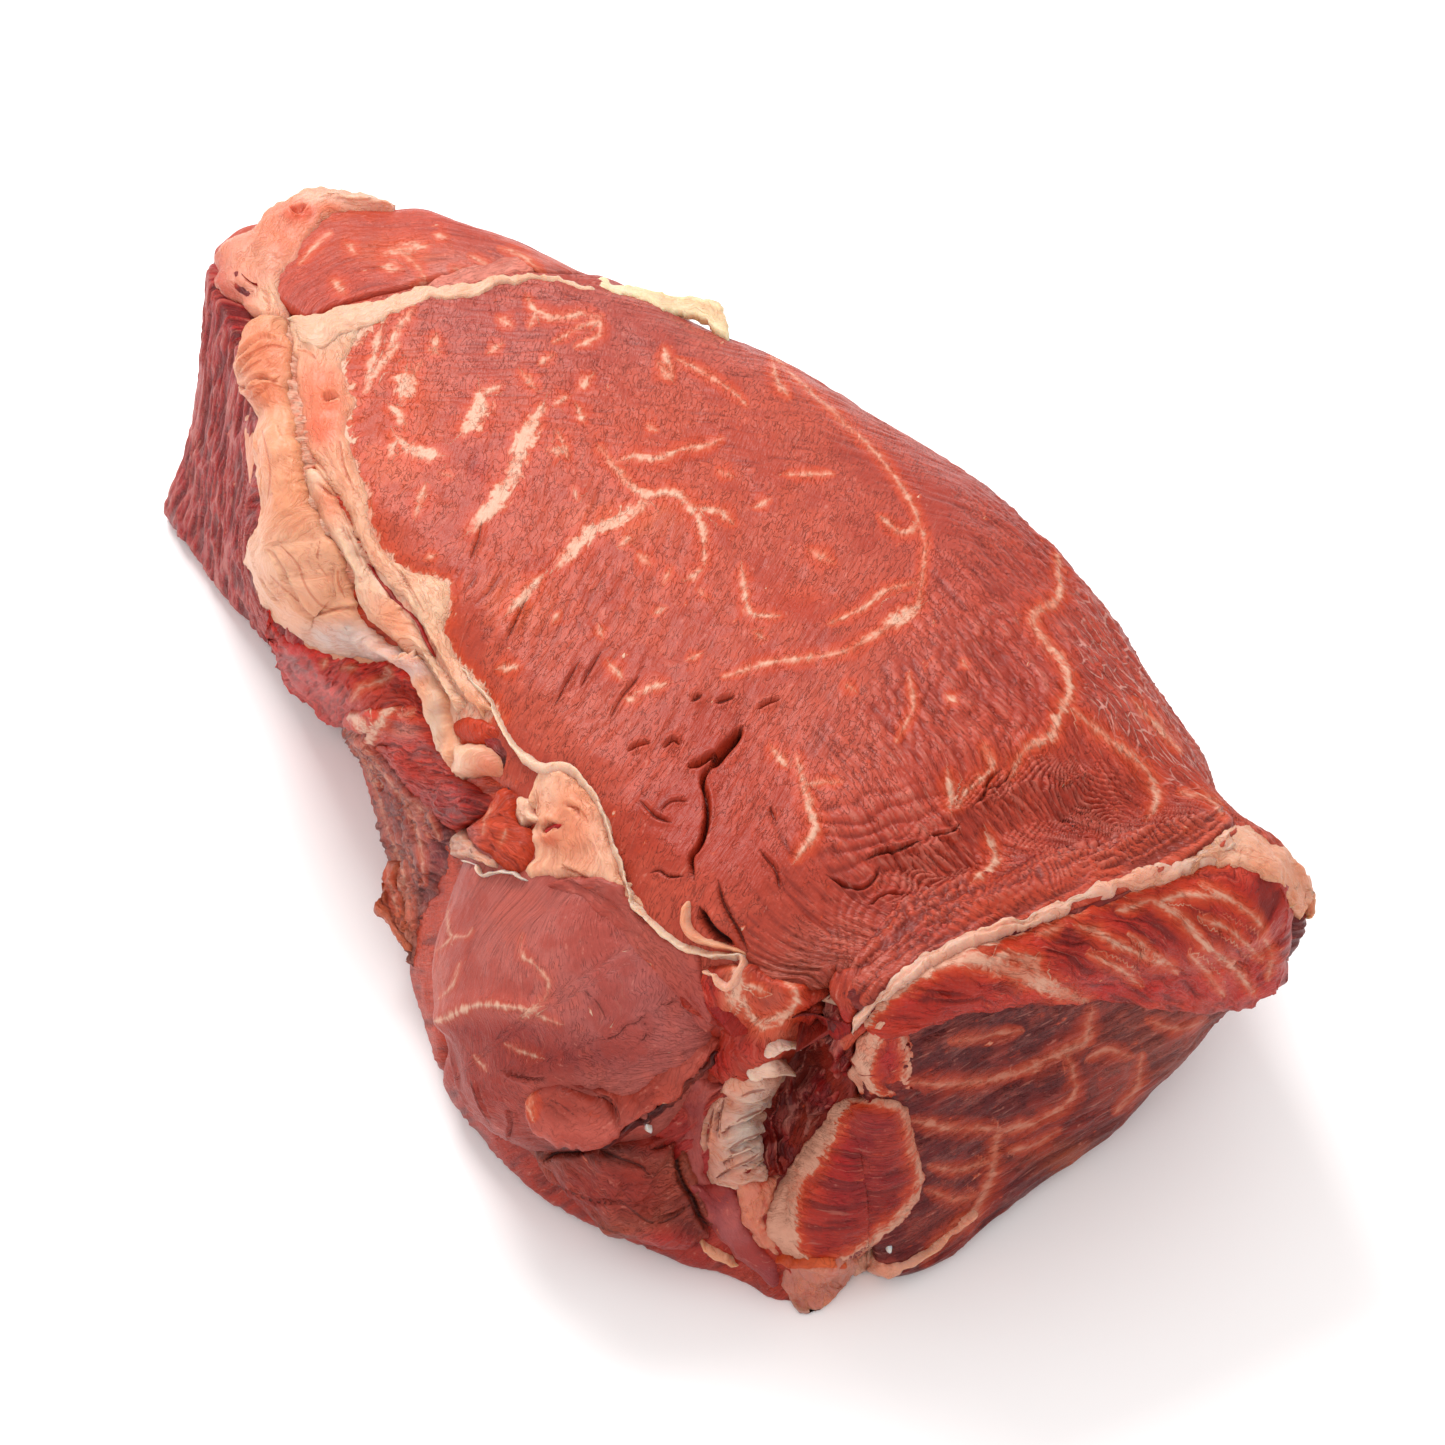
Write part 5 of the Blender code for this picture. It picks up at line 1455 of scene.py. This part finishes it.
        tones=[(1000,930, 70,6, 240,178,154), (1150,880, 40,8, 238,168,142), (880,992, 20,10, 240,186,166)]),
    flapCorner=dict(
        rails=[
            [1176,862, 1200,852, 1214,840, 1227,825, 1247,822, 1267,838, 1287,845, 1294,860, 1308,876,
             1314,900, 1312,922],
            [1178,870, 1204,862, 1224,852, 1240,846, 1258,850, 1274,860, 1288,876, 1298,892, 1306,912],
            [1180,878, 1206,868, 1232,866, 1252,872, 1267,880, 1280,892, 1290,906, 1300,924]],
        lift=[0.6, 1.4, 0.6], swell=0.7, swellSize=7, ripple=0.2, seed=42, roll=(1.2, 1.6, 3, 3),
        fat=(242, 172, 142), step=2.0, crack=1.0, wobble=4.0,
        tones=[(1298,880, 8,30, 232,150,116), (1240,846, 20,12, 250,200,174),
            (1262,842, 12,8, 240,156,122)]),
    lobeRim=dict(
        rails=[
            [536,884, 580,900, 618,936, 648,970, 674,1002, 694,1026, 710,1038],
            [566,878, 608,892, 640,926, 668,954, 690,984, 704,1008, 716,1028],
            [590,874, 626,888, 650,920, 676,942, 700,958, 708,984, 720,1014]],
        lift=[0.2, 1.6, 1.2], swellSize=12, ripple=0.08, seed=82, roll=(2.5, 1.2, 3, 3),
        lean=(184, 104, 96), lit=0.87, crack=0.4, fibre=0.2,
        tones=[(690,1000, 24,24, 172,94,90)]),
    cavityFloor=dict(
        rails=[
            [827,994, 816,1022, 805,1048, 791,1074, 776,1100, 764,1132, 760,1160, 763,1176],
            [830,1002, 828,1030, 822,1056, 810,1084, 794,1110, 780,1142, 773,1174],
            [835,1006, 842,1024, 849,1048, 850,1078, 838,1100, 816,1122, 798,1150, 784,1176]],
        lift=[0.8, 0.4, 0.8], swell=1.6, swellSize=6, ripple=1.2, rippleSize=2.2, seed=83, grainTurn=8,
        roll=(1, 1, 2, 2), lean=(164, 68, 58), lit=0.8, crack=1.0, fibre=0.8,
        # the near-black tones are painted shade deep in the cavity
        tones=[(812,1122, 14,14, 62,14,10), (776,1152, 12,14, 66,16,12), (838,1072, 12,18, 148,60,52),
            (826,1026, 8,24, 64,14,12), (802,1072, 8,24, 74,20,16), (784,1104, 9,18, 66,14,12),
            (815,1060, 6,16, 120,62,56), (806,1098, 8,16, 136,54,46)]),
    redMeat=dict(
        rails=[
            [703,970, 698,990, 704,1010, 718,1028, 712,1046, 703,1062, 712,1080, 728,1090],
            [722,962, 728,986, 738,1004, 748,1022, 744,1042, 738,1058, 742,1072, 746,1082],
            [750,962, 774,978, 802,984, 824,996, 821,1012, 812,1032, 800,1048, 780,1062, 758,1074]],
        lift=[0.6, 2.2, 1.4], swell=1.0, swellSize=7, ripple=0.2, seed=46, roll=(2, 2, 2, 2),
        lean=(194, 92, 80), crack=0.7, fibre=0.3, carries=True, veinStrength=0.9,
        tones=[(709,992, 8,14, 216,76,48), (768,1004, 14,12, 208,112,94), (716,1062, 12,14, 196,66,50),
            (740,1040, 20,16, 192,76,60), (734,994, 9,22, 240,172,146), (702,1004, 4,10, 110,24,18),
            (768,1032, 26,8, 216,124,102), (806,1020, 8,16, 186,76,64)],
        veins=[(7, [733,966, 738,980, 734,996, 732,1006]), (4.5, [742,996, 750,1014, 762,1026, 772,1027]),
            (4.5, [768,1020, 784,1016, 795,1006, 797,996]), (3, [797,996, 792,986, 786,982]),
            (2.4, [744,984, 756,988, 766,992])]),
    wrinkledFat=dict(
        rails=[
            [730,1078, 712,1100, 703,1122, 699,1146, 702,1170, 714,1188],
            [752,1072, 738,1098, 728,1122, 724,1146, 727,1168, 738,1190],
            [772,1068, 760,1096, 750,1122, 746,1146, 750,1166, 758,1186],
            [792,1062, 776,1092, 772,1114, 764,1132, 762,1152, 772,1178]],
        lift=[0.4, 1.9, 2.2, 0.8], swell=1.0, swellSize=6, ripple=0.5, rippleSize=2.6, grainTurn=60,
        seed=47, roll=(2.0, 1.5, 2.5, 2.5), fat=(222, 172, 154), crack=1.0, carries=True, paintedShade=0.5,
        tones=[(752,1122, 14,26, 208,196,184), (745,1152, 14,14, 206,184,172),
            (708,1140, 7,44, 206,132,114), (726,1100, 12,18, 232,168,146), (730,1172, 20,10, 218,158,142)],
        cuts=[(2.0, 1.1, 0.4, [722,1134, 736,1122, 752,1114, 768,1108]),
            (2.0, 1.1, 0.4, [728,1150, 744,1140, 766,1132]),
            (2.0, 1.1, 0.4, [722,1164, 738,1152, 754,1146]),
            (1.8, 1.0, 0.4, [716,1178, 732,1168, 750,1160, 760,1152]),
            (1.8, 1.0, 0.4, [744,1176, 752,1166, 764,1160]),
            (2.0, 1.2, 0.4, [714,1108, 708,1135, 709,1160]),
            (2.0, 1.2, 0.4, [724,1100, 720,1118, 719,1138]),
            (2.0, 1.2, 0.4, [742,1096, 752,1092, 766,1090])]),
    whiteLumps=dict(
        line=[762,1056, 772,1048, 786,1043, 798,1048], halfWidths=[5, 7, 6, 3], lift=[0.6, 2.4, 0.6],
        swell=0.8, swellSize=4, seed=84, roll=(1.5, 1.5, 2, 2), fat=(252, 218, 202), step=1.7),
    whiteLumpsLow=dict(
        line=[746,1078, 758,1072, 772,1066, 788,1070], halfWidths=[6, 8, 9, 6], lift=[0.6, 2.2, 0.6],
        swell=0.8, swellSize=4, seed=85, roll=(1.5, 1.5, 2, 2), fat=(248, 206, 186), step=1.7),
    cornerFold=dict(
        rails=[
            [826,972, 828,988, 832,1002, 838,1016, 846,1025],
            [844,968, 845,986, 846,1002, 848,1014, 850,1023],
            [866,962, 864,982, 861,998, 859,1010, 855,1022]],
        lift=[0.3, 1.6, 0.8], swell=0.6, swellSize=6, ripple=0.3, rippleSize=1.6, seed=98,
        roll=(2, 1, 3, 1.5), lean=(186, 92, 80), lit=0.95, crack=0.6, fibre=0.3, carries=True, soft=6,
        wobble=2.0,
        tones=[(842,1018, 8,8, 184,62,52)]),
    fleshBit=dict(
        rails=[
            [838,1026, 836,1036, 832,1046],
            [854,1024, 852,1036, 844,1048],
            [876,1020, 868,1032, 856,1042]],
        lift=[0.3, 1.2, 0.4], swellSize=4, seed=100, roll=(0.8, 0.8, 1, 1), step=1.6, lean=(196, 94, 78),
        lit=0.9, fibre=0.3, wobble=2.0, soft=4,
        tones=[(836,1046, 5,4, 214,160,140), (866,1024, 8,5, 160,50,40)]),
    upperRing=dict(
        rails=[
            [876,1020, 860,1036, 851,1056, 849,1074, 858,1092],
            [886,1017, 876,1040, 870,1058, 868,1076, 872,1095],
            [896,1022, 900,1042, 898,1060, 895,1078, 888,1097],
            [904,1030, 914,1046, 916,1064, 914,1082, 902,1098]],
        lift=[0.4, 1.1, 0.5, -0.2], swell=0.9, swellSize=5, ripple=0.3, rippleSize=2.0, seed=48,
        roll=(1.5, 2.5, 2, 2), lean=(150, 52, 44), crack=0.6, fibre=0.3, carries=True, paintedShade=0.4,
        wobble=4.0, soft=5, veinStrength=0.85, sink=0.6,
        tones=[(890,1064, 12,16, 196,50,34), (912,1066, 8,24, 176,96,84)],
        veins=[(5, [892,1024, 904,1040, 910,1060, 906,1080, 890,1092])],
        fatAreas=[[888,1010, 866,1022, 848,1046, 844,1076, 856,1098, 884,1096, 874,1084, 872,1066,
            876,1050, 884,1036, 896,1024]]),
    darkSeam=dict(
        line=[856,1096, 880,1095, 902,1099, 924,1090], halfWidths=[1.5, 3, 5, 2], lift=[0.1, 0.2, 0.1],
        swell=0.3, seed=86, roll=(0.8, 0.8, 1, 1), lean=(100, 36, 30), step=1.6, sink=0.4),
    redPatch=dict(
        rails=[
            [850,1096, 828,1108, 816,1130, 800,1150, 784,1170, 772,1192, 762,1216, 766,1240, 786,1256,
             808,1262],
            [866,1099, 850,1118, 840,1142, 826,1164, 814,1184, 804,1206, 800,1228, 806,1246, 820,1260],
            [884,1099, 884,1122, 884,1146, 876,1170, 868,1192, 858,1214, 846,1234, 832,1260],
            [900,1101, 913,1116, 917,1138, 923,1160, 927,1180, 919,1200, 905,1220, 885,1238, 864,1252,
             846,1262]],
        lift=[0.8, 2.8, 3.0, 0.8], swell=0.6, ripple=0.3, rippleSize=1.6, grainTurn=100, seed=49,
        roll=(2.5, 2.5, 2.5, 2.5), lean=(154, 30, 24), lit=0.95, paintedShade=0.5, fibre=0.6, carries=True,
        fatAreas=[[846,1092, 824,1104, 812,1130, 796,1150, 780,1170, 768,1192, 758,1216, 762,1244,
            784,1262, 812,1264, 800,1248, 796,1225, 799,1200, 808,1180, 824,1160, 834,1138, 842,1116,
            852,1102]],
        tones=[(874,1138, 20,36, 150,14,10), (812,1195, 12,30, 208,84,54), (838,1160, 12,24, 188,50,34),
            (852,1218, 36,22, 158,66,60), (812,1222, 12,12, 168,36,28)],
        veins=[(6.5, [852,1099, 876,1099, 898,1104, 911,1120, 915,1145, 921,1170, 925,1183, 914,1203,
            900,1221, 880,1238, 856,1254, 830,1264])]),
    mauveSide=dict(
        rails=[
            [692,1076, 684,1106, 681,1140, 684,1170, 700,1192],
            [726,1086, 710,1104, 703,1134, 702,1162, 714,1188]],
        lift=[0.4, 0.6], swellSize=12, seed=87, roll=(2, 1.5, 2, 2), lean=(166, 96, 92), lit=0.85,
        crack=0.15, fibre=0.1,
        tones=[(690,1110, 8,20, 140,50,44)]),
    lobeTongue=dict(
        rails=[
            [530,1094, 545,1086, 570,1082, 600,1088, 625,1092, 650,1080, 676,1063, 698,1047, 714,1037],
            [527,1104, 548,1104, 575,1108, 602,1112, 628,1108, 652,1095, 678,1076, 700,1058, 717,1041],
            [528,1114, 543,1128, 562,1138, 582,1141, 604,1137, 620,1127, 636,1115, 656,1105, 680,1087,
             702,1065, 720,1044]],
        lift=[0.2, 2.6, 4.6], swellSize=9, ripple=0.12, seed=97, roll=(5, 1.4, 2.5, 2.5), depth=4.0,
        lean=(172, 92, 84), lit=0.85, crack=0.3, fibre=0.15, carries=True, soft=4,
        # the dark tone at (590, 1084) is painted shade in the valley along the tongue's top
        tones=[(580,1129, 44,11, 198,108,98), (640,1094, 20,12, 168,84,76), (690,1060, 20,14, 190,102,92),
            (575,1102, 40,12, 170,92,84), (590,1084, 40,5, 124,46,40)],
        veins=[(3.0, [531,1092, 529,1104, 532,1116])],
        cuts=[(2.6, 1.8, 0.8, [556,1083, 576,1089, 596,1095, 609,1099, 617,1110, 620,1120]),
            (1.6, 0.6, 0.3, [545,1098, 562,1106, 578,1118])]),
    tongueShadow=dict(
        line=[560,1146, 584,1148, 606,1144, 624,1133, 642,1121, 660,1110, 684,1092, 704,1070, 718,1050],
        halfWidths=[0.5, 2.5, 3.5, 3, 2.5, 2.5, 3, 3, 1], lift=[0.1, 0.1, 0.1], swell=0.2, seed=99,
        roll=(0.6, 0.6, 1, 1), sink=0.4, lean=(96, 36, 32), step=1.6, wobble=3.0),
    purpleSkin=dict(
        rails=[
            [682,1180, 694,1200, 707,1222, 721,1244, 739,1262, 760,1275, 776,1288],
            [700,1184, 716,1200, 728,1222, 738,1240, 754,1256, 768,1268, 778,1286],
            [722,1184, 738,1194, 746,1216, 752,1236, 766,1250, 776,1264, 782,1284]],
        lift=[0.5, 1.6, 1.0], swellSize=14, seed=51, roll=(2, 2, 2, 2), lean=(150, 86, 86), lit=0.8,
        crack=0.15, fibre=0.1,
        tones=[(738,1226, 14,16, 172,104,102), (712,1196, 14,8, 132,64,64)]),
    stainedFat=dict(
        rails=[
            [734,1184, 738,1204, 743,1224, 752,1240, 768,1256],
            [780,1174, 775,1194, 767,1214, 769,1234, 782,1256]],
        lift=[0.8, 1.0], swell=1.0, swellSize=4, ripple=0.6, seed=88, roll=(1.5, 1.5, 2, 2),
        fat=(206, 130, 112), lit=0.85, crack=1.0, stain=0.8),
    tip=dict(
        rails=[
            [774,1256, 777,1276, 782,1291, 792,1305, 801,1315],
            [814,1256, 815,1274, 814,1289, 811,1303, 806,1316],
            [860,1258, 849,1272, 839,1285, 828,1299, 811,1315]],
        lift=[0.6, 1.8, 0.8], swell=0.8, swellSize=5, ripple=0.3, seed=50, roll=(0.8, 0.8, 2, 1.5),
        fat=(208, 136, 122), crack=1.0, stain=0.25, step=2.0),
    tipEdge=dict(
        line=[774,1256, 796,1261, 822,1259, 846,1262], halfWidths=[2, 3.5, 3.5, 2], lift=[0.3, 1.6, 0.3],
        swell=0.4, seed=89, roll=(0.8, 0.8, 1, 1), lean=(222, 112, 82), step=1.6, wobble=2.0),
    bottomFat=dict(
        line=[848,1270, 868,1266, 888,1270, 912,1262, 936,1246, 954,1230, 976,1212],
        halfWidths=[4, 10, 5, 4, 4, 4, 3], lift=[0.2, 1.2, 0.2], swellSize=5, seed=90,
        roll=(1, 1, 1.5, 1.5), fat=(232, 166, 142), step=1.8, stain=0.3, soft=1),
    tendon=dict(
        line=[460,664, 478,688, 492,706, 503,726, 516,746, 530,762, 548,769, 562,769, 578,778, 592,794,
            602,812, 610,836, 618,862, 628,888, 640,908, 658,928, 680,944, 706,954, 728,955, 748,957],
        halfWidths=[1.5, 3, 3.5, 4, 4.5, 7, 6, 4, 4, 4, 4, 3.5, 3.5, 4, 4, 4.5, 5, 5, 3],
        lift=[0.1, 1.7, 0.1], swell=0.4, swellSize=4, ripple=0.1, rippleSize=1.2, seed=43,
        roll=(0.9, 0.9, 1.5, 1.5), fat=(248, 206, 182), step=1.6, wobble=1.8),
    fatCurl=dict(
        line=[690,899, 686,912, 687,926, 697,937, 714,944, 732,949, 748,956],
        halfWidths=[4, 7, 7.5, 6.5, 5, 4, 3], lift=[0.2, 2.2, 0.2], swell=0.3, swellSize=6, seed=44,
        roll=(1.2, 1.2, 2, 2), fat=(244, 164, 134), step=1.6, wobble=1.0, soft=6,
        tones=[(690,915, 4,12, 250,196,168), (715,940, 12,4, 250,190,160)]),
    fatTail=dict(
        line=[738,953, 744,962, 740,974, 728,984, 716,978, 706,972], halfWidths=[4, 5, 7, 7, 5, 3],
        lift=[0.2, 1.8, 0.2], swellSize=4, seed=45, roll=(1.0, 1.0, 1.5, 1.5), fat=(240, 178, 156),
        step=1.6, soft=4),
    skinCurl=dict(
        rails=[
            [452,842, 459,832, 470,840, 482,851, 494,861],
            [457,858, 465,858, 476,860, 487,866, 497,873]],
        lift=[1.6, 1.6], swell=0.7, swellSize=4, ripple=0.4, rippleSize=1.6, seed=55,
        roll=(1.2, 1.2, 1.5, 1.5), fat=(212, 166, 148), step=1.7, crack=1.0),
    skinEdge=dict(
        line=[464,862, 476,866, 484,876, 494,873, 504,870, 514,874, 528,883],
        halfWidths=[1.5, 2, 2.5, 2.5, 3, 2.5, 1.5], lift=[0.1, 1.4, 0.1], swell=0.4, swellSize=3, seed=91,
        roll=(0.6, 0.6, 1, 1), fat=(238, 206, 192), step=1.5),
    backFat=dict(
        rails=[
            [594,276, 622,281, 646,289, 672,296, 700,297, 720,307, 731,324],
            [600,288, 628,296, 650,303, 674,311, 697,320, 714,328, 732,342]],
        lift=[0.1, 0.1], swell=0.3, swellSize=6, seed=92, roll=(0.8, 0.8, 1.5, 1.5), fat=(252, 226, 186),
        step=2.2, depth=1.5),
    whiteDotNear=dict(
        line=[886,1247, 893,1250], halfWidths=[4, 5], lift=[0.2, 0.9, 0.2], swell=0.2, seed=93,
        roll=(0.8, 0.8, 0.8, 0.8), fat=(232, 222, 218), step=1.2, wobble=0.8),
    whiteDotLeft=dict(
        line=[645,1126, 652,1129], halfWidths=[4, 4], lift=[0.2, 0.9, 0.2], swell=0.2, seed=94,
        roll=(0.8, 0.8, 0.8, 0.8), fat=(236, 220, 216), step=1.2, wobble=0.8),
    chinFat=dict(
        line=[700,1244, 714,1250, 728,1258, 740,1266], halfWidths=[2, 5, 4, 1.5], lift=[0.2, 1.2, 0.2],
        swellSize=4, seed=95, roll=(0.8, 0.8, 1, 1), fat=(236, 166, 136), step=1.6),
)
for name, drawn in drawnPieces.items():
    addDrawn(name, drawn)
    if drawn.get("carries"):
        settleSeen()
print("drawn pieces made")


def makeCamera():  # stands and looks as the photograph was taken
    camera = bpy.data.cameras.new("camera")
    camera.lens = view["lens"]
    camera.sensor_width = view["sensor"]
    camera.clip_start = 0.01
    stand = bpy.data.objects.new("camera", camera)
    stand.location = Vector(viewStand - (*block["centre"], 0)) * mm
    stand.rotation_mode = "QUATERNION"
    stand.rotation_quaternion = Vector(-viewBack).to_track_quat("-Z", "Y")
    bpy.context.scene.collection.objects.link(stand)
    bpy.context.scene.camera = stand


studio = {"floorSide": 6.0, "floor": (0.985, 0.965, 0.96), "world": 1.02,
          "lamps": {"keySoftbox": ((-0.62, 0.05, 0.85), 0.45, 8.8),  # stand, side and power
                    "fillSoftbox": ((0.65, -0.55, 0.8), 0.6, 1.5)}}


def makeStudio():
    bpy.ops.mesh.primitive_plane_add(size=studio["floorSide"])
    floor = bpy.context.object
    sheet = Sheet("floor")
    sheet.shader.inputs["Base Color"].default_value = (*studio["floor"], 1)
    sheet.shader.inputs["Roughness"].default_value = 0.8
    floor.data.materials.append(sheet.material)
    world = bpy.data.worlds.new("studio")
    bpy.context.scene.world = world
    world.use_nodes = True
    world.node_tree.nodes["Background"].inputs["Color"].default_value = (1, 1, 1, 1)
    world.node_tree.nodes["Background"].inputs["Strength"].default_value = studio["world"]
    for name, (stand, side, power) in studio["lamps"].items():
        lamp = bpy.data.lights.new(name, "AREA")
        lamp.energy, lamp.size = power, side
        lampObject = bpy.data.objects.new(name, lamp)
        lampObject.location = stand
        lampObject.rotation_mode = "QUATERNION"
        lampObject.rotation_quaternion = (Vector((0, 0, 0.04)) - lampObject.location).to_track_quat("-Z", "Y")
        bpy.context.scene.collection.objects.link(lampObject)


makeCamera()
makeStudio()
print("camera, floor and lights set")
